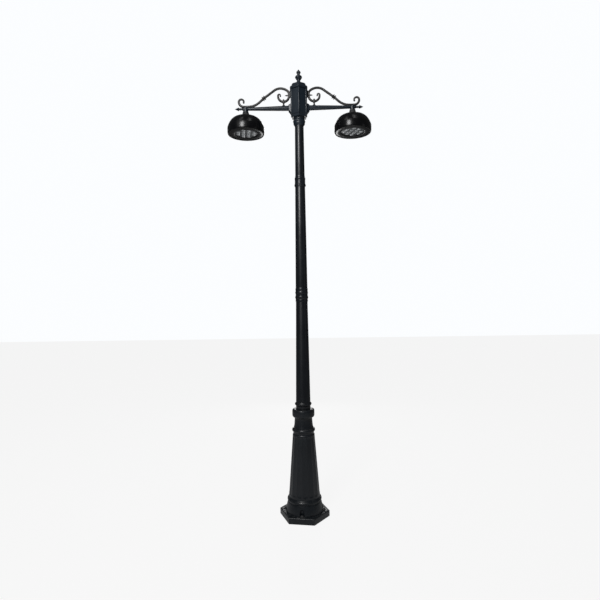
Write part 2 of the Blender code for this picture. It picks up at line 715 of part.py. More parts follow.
def make_scroll_foot(name, side):
    """The turned clasp that stands on the arm and grips the scroll where it is lowest, with a bud on top."""
    x, z = scroll_low_point()
    base = ARM_Z + arm_radius(x) + GAP
    profile = [(0, base), (9, base), (9.5, base + 2.5), (5.5, base + 6), (5, z - 13), (8.5, z - 7), (8.8, z + 4),
               (6, z + 8), (6.4, z + 11), (0, z + 19)]
    foot = turned(name, profile, FORGED_PAINT, 14, place=mirrored(side, Matrix.Translation((x, 0, 0))))
    channel = turned(
        name + "_channel", [(0, -20), (BAR + 1.1, -20), (BAR + 1.1, 20), (0, 20)], FORGED_PAINT, 16,
        place=mirrored(side, laid_along_x(x, z + 0.4)),
    )
    return cut(foot, channel)


def make_scroll_knop(name, side):
    """The turned knop threaded on the long straight of the scroll."""
    line = scroll_line()
    straight = next(i for i in range(len(line) - 1) if math.dist(line[i][:2], line[i + 1][:2]) > 70)
    (x0, z0, heading), (x1, z1, _) = line[straight], line[straight + 1]
    x, z = x0 + (x1 - x0) * KNOP_SHARE, z0 + (z1 - z0) * KNOP_SHARE
    turn = Matrix.Rotation(math.radians(90 - heading), 4, "Y")
    bore = BAR + GAP + 0.2
    half = [(8.5, 2), (12.5, 5), (12.5, 6.5), (7.5, 9), (bore, 9)]
    profile = [(radius, -along) for radius, along in reversed(half)] + half
    place = mirrored(side, Matrix.Translation((x, 0, z)) @ turn)
    return turned(name, profile, FORGED_PAINT, 14, tube=True, place=place)


def make_scroll_pad(name, side):
    """The pad on the block's face that the scroll is fixed to."""
    thick = PAD_FACE - BLOCK_HALF - GAP
    return box(name, (thick, 14, 46), (PAD_FACE - thick / 2, 0, 2834), FORGED_PAINT, place=mirrored(side))


# ---------------------------------------------------------------- the lamps

DOME_TOP = 2694
RIM_BOTTOM = 2568
SHELL = 3
LENS_VIEW = 75
LENS_SEAT = 2584
LENS_RADIUS = 13.2
BOARD_BOTTOM = 2601.4


def dome_outside():
    """From the bottom lip up the rim band, the sloping flank, the shoulder and the flat crown."""
    rim = [(119, RIM_BOTTOM), (LAMP_RIM, 2580), (LAMP_RIM, 2612)]
    shoulder = arc(74, 2657, 29, 29, 12, 66, 3)
    return rim + shoulder + [(60, 2690), (12.6, DOME_TOP)]


def dome_inside():
    return [(12.6, DOME_TOP - SHELL - 1), (56, 2686), (82, 2676), (97, 2656), (117, 2612), (115, RIM_BOTTOM)]


def make_lamp(side_name, x, turn):
    """A pendant lamp about its own vertical axis, at the arm's end."""
    frame = frame_empty("lamp_frame_" + side_name, x, turn)

    def node(base):
        return f"{base}_{side_name}"

    turned(
        node("lamp_stem"),
        [(6, 2676), (12, 2676), (12, 2706), (19.5, 2708), (22, 2711), (21.5, 2713), (17, 2716.5),
         (16, HUB_BOTTOM - 0.5),
         (STEM_BORE - 0.6, HUB_BOTTOM - 0.5), (STEM_BORE - 0.6, 2733), (6, 2733)],
        CAST_PAINT, 18, tube=True, parent=frame,
    )
    turned(
        node("crown_plate"),
        [(12.6, DOME_TOP + GAP), (36, 2694), (36.5, 2696.5), (25, 2701.5), (12.6, 2703)],
        FORGED_PAINT, 24, tube=True, parent=frame,
    )
    turned(node("lamp_housing"), dome_outside() + dome_inside(), GLOSS_BLACK, 28, tube=True, parent=frame)
    make_heat_sink(node("heat_sink"), frame)
    driver = box(node("led_driver"), (88, 42, 24), (0, 0, 2657), GREY_PLASTIC, parent=frame)
    driver_foot = box(node("driver_foot"), (104, 20, 3), (0, 0, 2646.5), GREY_PLASTIC, parent=frame)
    joined(driver, driver_foot)
    make_led_board(node("led_board"), frame)
    make_lens_plate(node("lens_plate"), frame)
    turned(
        node("bezel_ring"),
        [(LENS_VIEW, 2580.5), (LENS_VIEW + 2, 2579), (111.5, 2579), (113.2, 2581), (113.2, 2590), (88, 2590),
         (88, LENS_SEAT), (LENS_VIEW, LENS_SEAT)],
        GLOSS_BLACK, 28, tube=True, parent=frame,
    )


def led_spots():
    """Twelve lights on a square grid with its corners left out."""
    steps = (-1.5, -0.5, 0.5, 1.5)
    return [(LED_PITCH * i, LED_PITCH * j) for i in steps for j in steps if abs(i * j) < 2]


def make_heat_sink(name, frame):
    """A round aluminium plate with straight fins standing on it."""
    fins, pitch, fin, base_low, base_high, fin_top = 9, 16, 3, 2604, 2610, 2644
    outline = [(-90, base_low), (90, base_low), (90, base_high)]
    for i in reversed(range(fins)):
        x = (i - (fins - 1) / 2) * pitch
        right, left = x + fin / 2, x - fin / 2
        outline += [(right, base_high), (right, fin_top), (left, fin_top), (left, base_high)]
    outline.append((-90, base_high))
    comb = lofted(name, [[(x, y, z) for x, z in outline] for y in (-90, 90)], BARE_ALUMINIUM, parent=frame)
    disc = turned(name + "_disc", [(0, 2590), (82, 2590), (82, 2660), (0, 2660)], BARE_ALUMINIUM, 24, parent=frame)
    return combined(comb, disc, "INTERSECT")


def make_led_board(name, frame):
    """The round board under the heat sink, its light chips facing down."""
    low, high = BOARD_BOTTOM, BOARD_BOTTOM + 2.2
    board = turned(name, [(0, low), (80, low), (80, high), (0, high)], BOARD_WHITE, 20, parent=frame)
    for n, (x, y) in enumerate(led_spots()):
        chip = box(f"{name}_chip_{n}", (6, 6, 3), (x, y, BOARD_BOTTOM - 0.8), BOARD_WHITE, parent=frame)
        joined(board, chip)
    return board


def make_lens_plate(name, frame):
    """A clear disc with a round lens bulging down under each light."""
    low, high = LENS_SEAT + GAP, LENS_SEAT + GAP + 4
    outline = [(0, low), (84, low), (86.4, low + 1), (86.4, high), (0, high)]
    plate = turned(name, outline, CLEAR_LENS, 28, parent=frame)
    for n, (x, y) in enumerate(led_spots()):
        bulge = [(0, low + 2), (LENS_RADIUS, low + 2)] + arc(0, low + 0.5, LENS_RADIUS, 6.5, 0, -90, 2)
        lens = turned(f"{name}_lens_{n}", bulge, CLEAR_LENS, 8, parent=frame, place=Matrix.Translation((x, y, 0)))
        joined(plate, lens)
    return plate


# ---------------------------------------------------------------- the wiring inside

def cable(name, points, radius):
    """A cable as a round tube through points, in millimetres."""
    data = bpy.data.curves.new(name, "CURVE")
    data.dimensions = "3D"
    data.bevel_depth = radius * MM
    data.bevel_resolution = 2
    data.use_fill_caps = True
    spline = data.splines.new("POLY")
    spline.points.add(len(points) - 1)
    for point, place in zip(spline.points, points):
        point.co = (*(Vector(place) * MM), 1)
    data.materials.append(CABLE_BLACK)
    piece = bpy.data.objects.new(name, data)
    bpy.context.scene.collection.objects.link(piece)
    return piece


def smooth_run(corners, steps=8):
    """A smooth line through corner points: a Catmull-Rom spline."""
    points = [Vector(c) for c in corners]
    ends = [2 * points[0] - points[1]] + points + [2 * points[-1] - points[-2]]
    run = []
    for a, b, c, d in zip(ends, ends[1:], ends[2:], ends[3:]):
        for i in range(steps):
            t = i / steps
            square, cube = 2 * a - 5 * b + 4 * c - d, 3 * b - a - 3 * c + d
            run.append(0.5 * (2 * b + (c - a) * t + square * t * t + cube * t ** 3))
    return run + [points[-1]]


def make_wiring():
    """One cable from the terminal box up the pole to a connector in the head, and one from there to each lamp."""
    turn = Matrix.Rotation(math.radians(FOOT_TURN), 3, "Z")
    start = turn @ Vector((0, -46, 352))
    rise = turn @ Vector((0, -45, 392))
    lean = turn @ Vector((0, -22, 455))
    cable("riser_cable", smooth_run([start, rise, lean, (0, 0, 530), (0, 0, 640)], 4) + [Vector((0, 0, 2709))], 4.2)
    connector = box("cable_connector", (44, 24, 22), (0, 0, 2721.5), GREY_PLASTIC)
    connector_lever = box("connector_lever", (36, 8, 4), (0, -6, 2733), GREY_PLASTIC)
    joined(connector, connector_lever)
    for side_name, side in (("left", -1), ("right", 1)):
        route = [(side * 23.6, 0, 2722), (side * 34, 0, 2728), (side * 52, 0, ARM_Z), (side * 80, 0, ARM_Z)]
        far = [(side * 335, 0, ARM_Z), (side * 352, 0, ARM_Z - 2), (side * LAMP_X, 0, 2727), (side * LAMP_X, 0, 2700)]
        end = Vector((side * LAMP_X, 0, 2672))
        cable(f"arm_cable_{side_name}", smooth_run(route, 3) + smooth_run(far, 3) + [end], 3)


# ---------------------------------------------------------------- assembly

make_foot_casting()
make_hatch()
make_screw_lug()
make_anchor_bolts()
make_gear_inside_foot()
make_collar_casting()
make_pole()
make_couplings()
make_head_socket()
make_head_block()
make_head_cap()
make_finial()
for label, sign in (("left", -1), ("right", 1)):
    make_arm(f"arm_{label}", sign)
    make_arm_tip(f"arm_tip_{label}", sign)
    make_scroll_pad(f"scroll_pad_{label}", sign)
    make_scroll(f"scroll_{label}", sign)
    make_scroll_foot(f"scroll_foot_{label}", sign)
    make_scroll_knop(f"scroll_knop_{label}", sign)
make_lamp("left", -LAMP_X, 0)
make_lamp("right", LAMP_X, RIGHT_LAMP_TURN)
make_wiring()
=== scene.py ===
import math

import bmesh
import bpy
from mathutils import Matrix, Vector


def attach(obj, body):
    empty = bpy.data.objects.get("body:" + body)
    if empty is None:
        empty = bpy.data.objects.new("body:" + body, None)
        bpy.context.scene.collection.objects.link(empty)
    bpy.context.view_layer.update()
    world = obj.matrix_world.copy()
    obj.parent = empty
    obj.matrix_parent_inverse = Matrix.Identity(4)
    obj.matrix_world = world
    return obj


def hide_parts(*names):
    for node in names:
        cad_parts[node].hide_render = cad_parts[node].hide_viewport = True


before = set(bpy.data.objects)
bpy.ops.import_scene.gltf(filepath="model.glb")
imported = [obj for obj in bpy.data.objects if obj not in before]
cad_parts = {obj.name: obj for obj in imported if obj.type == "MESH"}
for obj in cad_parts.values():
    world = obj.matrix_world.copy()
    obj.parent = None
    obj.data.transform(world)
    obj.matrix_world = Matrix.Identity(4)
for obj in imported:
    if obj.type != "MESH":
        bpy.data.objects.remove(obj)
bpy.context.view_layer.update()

MM = 0.001
SHARP_EDGE = math.radians(38)

# ---------------------------------------------------------------- the studio
# A plain pale floor and a white room. The camera stands three metres off at a person's eye level, with the small
# roll of a hand-held one. A tall softbox stands high at the front left over a weaker low one, and dim ones stand
# at the right and behind. Two strips hang over the lamps, and a low one at the front lights their undersides.

EYE_HEIGHT = 1.446
EYE_DISTANCE = 3.035
EYE_SIDE = -0.0118
CAMERA_ROLL = 0.83       # degrees
CAMERA_TURN = 0.8        # degrees round the post, to the right
LENS = 27

scene = bpy.context.scene
scene.view_settings.view_transform = "Standard"

camera_data = bpy.data.cameras.new("camera")
camera_data.lens = LENS
camera = bpy.data.objects.new("camera", camera_data)
camera.location = (
    Matrix.Rotation(math.radians(CAMERA_TURN), 3, "Z") @ Vector((EYE_SIDE, -EYE_DISTANCE, EYE_HEIGHT))
)
camera.rotation_euler = (math.radians(90), math.radians(CAMERA_ROLL), math.radians(CAMERA_TURN))
scene.collection.objects.link(camera)
scene.camera = camera


class Wire:
    """An output of a node. Arithmetic on it adds Math nodes to its tree."""

    def __init__(self, graph, socket):
        self.graph = graph
        self.socket = socket

    def math(self, operation, *others):
        values = dict(enumerate((self, *others)))
        return self.graph.node("ShaderNodeMath", {"operation": operation}, values)

    def __add__(self, other):
        return self.math("ADD", other)

    def __mul__(self, other):
        return self.math("MULTIPLY", other)

    def __sub__(self, other):
        return self.math("SUBTRACT", other)

    def __truediv__(self, other):
        return self.math("DIVIDE", other)

    def __pow__(self, other):
        return self.math("POWER", other)

    def __rsub__(self, other):
        return self.math("MULTIPLY", -1) + other

    def __rtruediv__(self, other):
        return self.graph.node("ShaderNodeMath", {"operation": "DIVIDE"}, {0: other, 1: self})

    __radd__ = __add__
    __rmul__ = __mul__

    def at_least(self, other):
        return self.math("MAXIMUM", other)

    def at_most(self, other):
        return self.math("MINIMUM", other)


class Graph:
    """A node tree, shader or geometry, that grows by one node at a time."""

    def __init__(self, tree):
        self.tree = tree

    def node(self, kind, settings=None, inputs=None, output=0):
        node = self.tree.nodes.new(kind)
        for key, value in (settings or {}).items():
            setattr(node, key, value)
        for key, value in (inputs or {}).items():
            if isinstance(value, Wire):
                self.tree.links.new(value.socket, node.inputs[key])
            else:
                node.inputs[key].default_value = value
        return Wire(self, node.outputs[output])

    def mix(self, factor, low, high):
        """A colour between two others."""
        return self.node("ShaderNodeMix", {"data_type": "RGBA"}, {0: factor, 6: low, 7: high}, 2)

    def ease(self, value, low, high):
        """0 below low, 1 above high, and smooth between them."""
        names = {"Value": value, "From Min": low, "From Max": high}
        return self.node("ShaderNodeMapRange", {"interpolation_type": "SMOOTHSTEP"}, names)


class Finish(Graph):
    """A Principled material, with the patterns that the pieces' finishes share. Sizes are metres."""

    def __init__(self, name, **constants):
        self.material = bpy.data.materials.new(name)
        self.material.use_nodes = True
        super().__init__(self.material.node_tree)
        self.shader = self.tree.nodes["Principled BSDF"]
        for key, value in constants.items():
            self.shader.inputs[key.replace("_", " ")].default_value = value

    def place(self, stretch=(1, 1, 1)):
        """The point on the piece, stretched."""
        at = self.node("ShaderNodeTexCoord", output="Object")
        return self.node("ShaderNodeMapping", {}, {"Vector": at, "Scale": stretch})

    def noise(self, grain, detail=3, stretch=(1, 1, 1), rough=0.5):
        """Clouds whose lumps are about grain across, around 0.5."""
        inputs = {"Vector": self.place(stretch), "Scale": 1 / grain, "Detail": detail, "Roughness": rough}
        return self.node("ShaderNodeTexNoise", {}, inputs)

    def cells(self, grain, output="Distance", stretch=(1, 1, 1)):
        inputs = {"Vector": self.place(stretch), "Scale": 1 / grain}
        return self.node("ShaderNodeTexVoronoi", {}, inputs, output)

    def upward(self):
        """1 where the surface faces up, 0 where it is upright, and -1 where it faces down."""
        normal = self.node("ShaderNodeTexCoord", output="Normal")
        return self.node("ShaderNodeSeparateXYZ", {}, {"Vector": normal}, "Z")

    def edges(self, radius):
        """1 along sharp edges, where paint wears, and 0 elsewhere."""
        rounded = self.node("ShaderNodeBevel", {"samples": 4}, {"Radius": radius})
        normal = self.node("ShaderNodeNewGeometry", output="Normal")
        settings, inputs = {"operation": "DOT_PRODUCT"}, {0: rounded, 1: normal}
        return self.ease(1 - self.node("ShaderNodeVectorMath", settings, inputs, "Value"), 0.02, 0.25)

    def feeds(self, socket, value):
        if isinstance(value, Wire):
            self.tree.links.new(value.socket, self.shader.inputs[socket])
        else:
            self.shader.inputs[socket].default_value = value

    def bump(self, *layers):
        """Layers of (height, distance in metres), each on top of the last."""
        normal = None
        for height, distance in layers:
            inputs = {"Height": height, "Distance": distance, "Strength": 1}
            if normal:
                inputs["Normal"] = normal
            normal = self.node("ShaderNodeBump", {}, inputs)
        self.feeds("Normal", normal)


FLOOR_HALF = 14

floor_mesh = bmesh.new()
bmesh.ops.create_grid(floor_mesh, x_segments=1, y_segments=1, size=FLOOR_HALF)
floor_data = bpy.data.meshes.new("floor")
floor_mesh.to_mesh(floor_data)
floor_mesh.free()
floor = bpy.data.objects.new("floor", floor_data)
scene.collection.objects.link(floor)
paper = Finish("floor_paper", Roughness=0.9, Specular_IOR_Level=0.05)
paper.feeds("Base Color", paper.mix(paper.noise(0.4), (0.80, 0.80, 0.80, 1), (0.84, 0.84, 0.84, 1)))
lit = paper.node("ShaderNodeEmission", {}, {"Strength": 1.0, "Color": (1, 1, 1, 1)})
seen = paper.node("ShaderNodeLightPath", output="Is Camera Ray")
both = paper.node("ShaderNodeMixShader", {}, {0: seen * 0.9, 1: Wire(paper, paper.shader.outputs[0]), 2: lit})
paper.tree.links.new(both.socket, paper.tree.nodes["Material Output"].inputs["Surface"])
floor_data.materials.append(paper.material)

ROOM_LIGHT = 0.06        # what the room lends the object, against the 1 that the camera sees
room = bpy.data.worlds.new("white_room")
room.use_nodes = True
room_graph = Graph(room.node_tree)
seen = room_graph.node("ShaderNodeLightPath", output="Is Camera Ray")
strength = seen * (1 - ROOM_LIGHT) + ROOM_LIGHT
room.node_tree.nodes["Background"].inputs["Color"].default_value = (0.97, 0.985, 1, 1)
room.node_tree.links.new(strength.socket, room.node_tree.nodes["Background"].inputs["Strength"])
scene.world = room


def softbox(name, size, power, place, target, spread=180):
    data = bpy.data.lights.new(name, "AREA")
    data.shape = "RECTANGLE"
    data.size, data.size_y = size
    data.energy = power
    data.spread = math.radians(spread)
    light = bpy.data.objects.new(name, data)
    light.location = place
    light.visible_camera = False
    light.rotation_euler = (Vector(target) - Vector(place)).to_track_quat("-Z", "Y").to_euler()
    scene.collection.objects.link(light)


softbox("key_light", (0.9, 1.8), 80, (-1.25, -2.95, 3.85), (0, 0, 2.65))
softbox("low_key_light", (0.8, 1.6), 2, (-1.3, -3.0, 1.75), (0, 0, 1.5))
softbox("fill_light", (0.6, 2.4), 1.5, (3.2, -1.6, 2.2), (0, 0, 1.6))
softbox("left_strip_light", (0.3, 1.2), 2, (-1.25, -1.0, 5.0), (-0.36, 0, 2.65))
softbox("right_strip_light", (0.3, 1.2), 3, (0.6, -1.1, 5.0), (0.36, 0, 2.65))
softbox("bounce_light", (1.2, 0.5), 0.6, (0, -1.5, 1.1), (0, 0, 2.8), 70)
softbox("back_light", (0.5, 1.9), 14, (0, 3.2, 3.4), (0, 0, 2.5))
softbox("low_back_light", (0.5, 1.6), 10, (0, 3.2, 1.4), (0, 0, 0.9))


# ---------------------------------------------------------------- the foot
# One hollow casting in black powder coat: a hexagonal flange, a round skirt with an arched pocket over each
# anchor bolt, and a tapered body whose flutes end in round tips between two beads. It is sand cast and
# blasted.

GAP = 0.3                # between pieces that touch, in millimetres, as all the sizes below
FOOT_TURN = -7.7         # degrees
FLANGE_CORNER = 168
FLANGE_THICK = 39.5
SKIRT_RADIUS = 127
FLUTES = 16
FLUTE_DEPTH = 2.2
BODY_LOW = (104, 142)
BODY_HIGH = (73.5, 545)
BODY_TOP = 588
BOLT_CIRCLE = 128
POCKET = 16.5
HATCH_BOTTOM = 240
HATCH_HEIGHT = 140
HATCH_WIDTH = 62
HATCH_MIDDLE = HATCH_BOTTOM + HATCH_HEIGHT / 2
FOOT_PLACE = Matrix.Rotation(math.radians(FOOT_TURN), 4, "Z")


def arc(centre_r, centre_z, half_r, half_z, start, end, steps=12):
    """Points along an ellipse's arc, from one angle to another in degrees."""
    angles = [math.radians(start + (end - start) * i / steps) for i in range(steps + 1)]
    return [(centre_r + half_r * math.cos(a), centre_z + half_z * math.sin(a)) for a in angles]


def eased(profile, radius=0.9, steps=3):
    """The same profile with its sharp corners rounded, as paint and casting leave them."""
    points = [Vector(p) for p in profile]
    smooth = [points[0]]
    for before, corner, after in zip(points, points[1:], points[2:]):
        a, b = before - corner, after - corner
        if a.length < 1e-6 or b.length < 1e-6 or a.angle(b) > math.radians(160):
            smooth.append(corner)
            continue
        reach = min(radius, 0.45 * a.length, 0.45 * b.length)
        start, end = corner + a.normalized() * reach, corner + b.normalized() * reach
        for i in range(steps + 1):
            t = i / steps
            smooth.append(start * (1 - t) ** 2 + corner * 2 * t * (1 - t) + end * t ** 2)
    return smooth + [points[-1]]


def smoothed(mesh):
    """Smooth shading, but for the edges that turn by more than SHARP_EDGE."""
    mesh.shade_smooth()
    mesh.set_sharp_from_angle(angle=SHARP_EDGE)


def finished(name, bm, finish=None, place=None):
    """A piece from a bmesh in millimetres, its place in its mesh."""
    if place is not None:
        bm.transform(place)
    bm.transform(Matrix.Scale(MM, 4))
    bmesh.ops.remove_doubles(bm, verts=bm.verts, dist=1e-6)
    bmesh.ops.recalc_face_normals(bm, faces=bm.faces)
    mesh = bpy.data.meshes.new(name)
    bm.to_mesh(mesh)
    bm.free()
    smoothed(mesh)
    if finish:
        mesh.materials.append(finish.material)
    piece = bpy.data.objects.new(name, mesh)
    scene.collection.objects.link(piece)
    return piece


def turned(name, profile, finish=None, sides=96, tube=False, place=None):
    """A turned piece. A tube's profile goes right round; another starts and ends on the axis."""
    bm = bmesh.new()
    verts = [bm.verts.new((max(p[0], 0), 0, p[1])) for p in profile]
    edges = [bm.edges.new(pair) for pair in zip(verts, verts[1:])]
    if tube:
        edges.append(bm.edges.new((verts[-1], verts[0])))
    bmesh.ops.spin(bm, geom=verts + edges, axis=(0, 0, 1), cent=(0, 0, 0), angle=math.tau, steps=sides,
        use_merge=True)
    bmesh.ops.remove_doubles(bm, verts=bm.verts, dist=1e-4)
    return finished(name, bm, finish, place)


def rod(name, radius, low, high, finish=None, sides=32, place=None):
    """A plain round rod on the axis, as a cutter."""
    return turned(name, [(0, low), (radius, low), (radius, high), (0, high)], finish, sides, place=place)


def lofted(name, rings, finish=None, place=None, round_again=False):
    """A skin over rings of equally many points, closed at both ends or run back into the first ring."""
    bm = bmesh.new()
    rows = [[bm.verts.new(point) for point in ring] for ring in rings]
    count = len(rows[0])
    for low, high in zip(rows, rows[1:] + rows[:1] if round_again else rows[1:]):
        for i in range(count):
            j = (i + 1) % count
            bm.faces.new((low[i], low[j], high[j], high[i]))
    if not round_again:
        bm.faces.new(rows[0][::-1])
        bm.faces.new(rows[-1])
    return finished(name, bm, finish, place)


def plain_mesh(piece):
    """Turns the piece's modifiers into its mesh."""
    graph = bpy.context.evaluated_depsgraph_get()
    mesh = bpy.data.meshes.new_from_object(piece.evaluated_get(graph))
    piece.modifiers.clear()
    old, piece.data = piece.data, mesh
    mesh.name = piece.name
    if old.users == 0:
        (bpy.data.meshes if isinstance(old, bpy.types.Mesh) else bpy.data.curves).remove(old)
    return piece


def shaped(piece, cutters=(), fillers=(), bevel=0.0):
    """Cuts and joins closed shapes, then takes the sharp edges off by bevel millimetres."""
    helpers = [(c, "UNION") for c in fillers] + [(c, "DIFFERENCE") for c in cutters]
    for helper, operation in helpers:
        boolean = piece.modifiers.new(helper.name, "BOOLEAN")
        boolean.operation = operation
        boolean.solver = "MANIFOLD"
        boolean.object = helper
    plain_mesh(piece)
    for helper, operation in helpers:
        bpy.data.objects.remove(helper, do_unlink=True)
    if bevel:
        edge = piece.modifiers.new("edge", "BEVEL")
        edge.width = bevel * MM
        edge.segments = 2
        edge.limit_method = "ANGLE"
        edge.angle_limit = math.radians(40)
        edge.use_clamp_overlap = True
        plain_mesh(piece)
    smoothed(piece.data)
    return piece


def fitted(piece, body, slot, *nodes):
    """Fixes a finished piece to its body, in place of the CAD nodes that it stands for."""
    if nodes:
        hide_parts(*nodes)
    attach(piece, body)
    return piece


def powder_coat(name, deep, worn, roughness, grain=1.0, dust=0.12):
    """Satin coat over a blasted casting: orange peel, faint rain streaks, and dust where it faces up."""
    paint = Finish(name, Specular_IOR_Level=0.5, Coat_Roughness=0.25)
    clouds = paint.noise(0.11, 4)
    streaks = paint.noise(0.012, 3, (1, 1, 0.035))
    specks = paint.ease(paint.noise(0.004, 2), 0.64, 0.74)
    lying = paint.ease(paint.upward(), 0.35, 0.95) * paint.ease(paint.noise(0.02, 5), 0.30, 0.75)
    fade = paint.ease(clouds * 0.6 + streaks * 0.4, 0.36, 0.66)
    colour = paint.mix(fade, (*deep, 1), (*worn, 1))
    colour = paint.mix(lying * dust + specks * 0.02, colour, (0.30, 0.29, 0.27, 1))
    rubbed = paint.edges(0.0016) * paint.ease(paint.noise(0.006, 3), 0.40, 0.62)
    colour = paint.mix(rubbed * 0.5, colour, (0.075, 0.080, 0.086, 1))
    paint.feeds("Base Color", colour)
    paint.feeds("Roughness", fade * 0.07 + lying * 0.25 + (roughness - 0.035))
    paint.feeds("Coat Weight", 0.25 - lying * 0.2)
    paint.bump(
        (paint.noise(0.0035 * grain, 2), 0.00005 * grain),
        (paint.noise(0.04 * grain, 2), 0.00012 * grain),
        (paint.noise(0.0009, 1), 0.00002),
    )
    return paint


cast_paint = powder_coat("satin_black_on_casting", (0.0055, 0.0085, 0.013), (0.010, 0.0145, 0.020), 0.35)


def modifier_input(modifier, name, value):
    """Sets a Geometry Nodes modifier's input by the identifier that its name stands for."""
    items = modifier.node_group.interface.items_tree
    socket = next(item for item in items if item.name == name and item.in_out == "INPUT")
    modifier[socket.identifier] = value


def geometry_tree(name, **sizes):
    """A Geometry Nodes tree that takes a mesh and named sizes. Returns it with its graph and its inputs."""
    tree = bpy.data.node_groups.new(name, "GeometryNodeTree")
    tree.interface.new_socket("Geometry", in_out="INPUT", socket_type="NodeSocketGeometry")
    for label, value in sizes.items():
        kind = "NodeSocketInt" if isinstance(value, int) else "NodeSocketFloat"
        tree.interface.new_socket(label, in_out="INPUT", socket_type=kind).default_value = value
    tree.interface.new_socket("Material", in_out="INPUT", socket_type="NodeSocketMaterial")
    tree.interface.new_socket("Geometry", in_out="OUTPUT", socket_type="NodeSocketGeometry")
    graph = Graph(tree)
    source = tree.nodes.new("NodeGroupInput")
    return graph, {socket.name: Wire(graph, socket) for socket in source.outputs if socket.name}


def tree_ends(graph, geometry, material):
    """Ends a tree in real geometry with its material on."""
    real = graph.node("GeometryNodeRealizeInstances", {}, {"Geometry": geometry})
    painted = graph.node("GeometryNodeSetMaterial", {}, {"Geometry": real, "Material": material})
    end = graph.tree.nodes.new("NodeGroupOutput")
    graph.tree.links.new(painted.socket, end.inputs["Geometry"])


def grown(piece, graph, finish, **sizes):
    """Runs the tree on the piece, and keeps what it makes as a plain mesh."""
    modifier = piece.modifiers.new(graph.tree.name, "NODES")
    modifier.node_group = graph.tree
    modifier_input(modifier, "Material", finish.material)
    for label, value in sizes.items():
        modifier_input(modifier, label.replace("_", " "), value)
    plain_mesh(piece)
    smoothed(piece.data)
    return piece


def flute_carver():
    """Presses flutes with round tips into whatever stands round the Z axis between two heights."""
    graph, size = geometry_tree("flute_carver", Flutes=16.0, Depth=0.004, Bottom=0.1, Top=0.5, Turn=0.0)
    here = graph.node("GeometryNodeInputPosition")
    x, y, z = (graph.node("ShaderNodeSeparateXYZ", {}, {"Vector": here}, axis) for axis in "XYZ")
    radius = (x * x + y * y) ** 0.5
    pitch = math.tau / size["Flutes"]
    across = y.math("ARCTAN2", x) - size["Turn"]
    across = across.math("WRAP", pitch * 0.5, pitch * -0.5)
    half = radius * pitch * 0.5 * 0.86
    beyond = (size["Bottom"] + half - z).at_least(z - size["Top"] + half).at_least(0)
    side = across * radius / half
    reach = (side * side + (beyond / half) ** 2).at_most(1)
    depth = (1 - reach) ** 0.5 * size["Depth"]
    inward = graph.node("ShaderNodeCombineXYZ", {},
        {"X": x / radius * depth * -1, "Y": y / radius * depth * -1})
    moved = graph.node("GeometryNodeSetPosition", {}, {"Geometry": size["Geometry"], "Offset": inward})
    tree_ends(graph, moved, size["Material"])
    return graph


def body_radius(z):
    (low_r, low_z), (high_r, high_z) = BODY_LOW, BODY_HIGH
    return low_r + (high_r - low_r) * (z - low_z) / (high_z - low_z)


def round_block(name, width, height, near, far, corner, centre_z=HATCH_MIDDLE):
    """A block with round corners that stands through the back wall, as a cutter for window and door."""
    half_w, half_h = width / 2 - corner, height / 2 - corner
    outline = []
    for quarter, (sx, sz) in enumerate(((1, 1), (-1, 1), (-1, -1), (1, -1))):
        outline += arc(sx * half_w, centre_z + sz * half_h, corner, corner, quarter * 90, quarter * 90 + 90,
            8)
    return lofted(name, [[(x, y, z) for x, z in outline] for y in (near, far)])


def spoked(spots, radius):
    """Places at equal heights round the axis, by their angles in degrees."""
    return [(radius * math.cos(math.radians(a)), radius * math.sin(math.radians(a))) for a in spots]


def in_metres(place):
    """A place in millimetres as one in metres."""
    moved = place.copy()
    moved.translation *= MM
    return moved


def at(x, y, z=0.0, turn=0.0):
    return Matrix.Translation((x, y, z)) @ Matrix.Rotation(math.radians(turn), 4, "Z")


def fluted_heights():
    """Heights up the fluted body, close together where the flutes' round tips are."""
    tips = list(range(146, 186, 3)) + list(range(504, 545, 3))
    return sorted(tips + list(range(190, 500, 18)))


foot_profile = (
    [(0, 20), (SKIRT_RADIUS, 20), (SKIRT_RADIUS, 40), (124.6, 52), (122.8, 60), (120.6, 69), (118.2, 78),
        (116, 86)]
    + [(114.2, 93), (112.6, 99), (110.6, 103.5)]
    + arc(105.5, 115, 9.2, 11, -50, 62, 14)
    + [(109.2, 126), (108, 130), (105.2, 133), (104.2, 137)]
    + [BODY_LOW] + [(body_radius(z), z) for z in fluted_heights()]
    + [BODY_HIGH, (71, 547.5), (69.8, 551), (69.5, 556), (69.6, 562)]
    + arc(68, 575, 9, 11, -72, 74, 14) + [(68.4, BODY_TOP), (0, BODY_TOP)]
)
foot_piece = turned("foot_casting_piece", foot_profile, sides=FLUTES * 20)
flutes = {"Flutes": float(FLUTES), "Depth": FLUTE_DEPTH * MM, "Turn": math.tau / FLUTES / 2}
carver = flute_carver()
grown(foot_piece, carver, cast_paint, Bottom=0.150, Top=0.538, **flutes)


def round_hexagon(half, z, corner_at=0.0, corner=3.0, steps=5):
    """A level hexagon with round corners; half is from its middle to a flat."""
    reach = (half - corner) / math.cos(math.radians(30))
    ring = []
    for i in range(6):
        a = corner_at + 60 * i
        cx, cy = reach * math.cos(math.radians(a)), reach * math.sin(math.radians(a))
        ring += [(cx + px, cy + py, z) for px, py in arc(0, 0, corner, corner, a - 30, a + 30, steps)]
    return ring


FLANGE_HALF = FLANGE_CORNER * math.cos(math.radians(30))
edge_low = [(FLANGE_HALF - 1, 0), (FLANGE_HALF - 0.3, 0.4), (FLANGE_HALF, 1.2), (FLANGE_HALF, 33)]
edge_high = arc(FLANGE_HALF - 4.5, 34, 4.5, 5.2, 8, 84, 7)
rings = [round_hexagon(r, z) for r, z in edge_low + edge_high + [(FLANGE_HALF - 8, FLANGE_THICK)]]
flange = lofted("flange", rings, cast_paint)

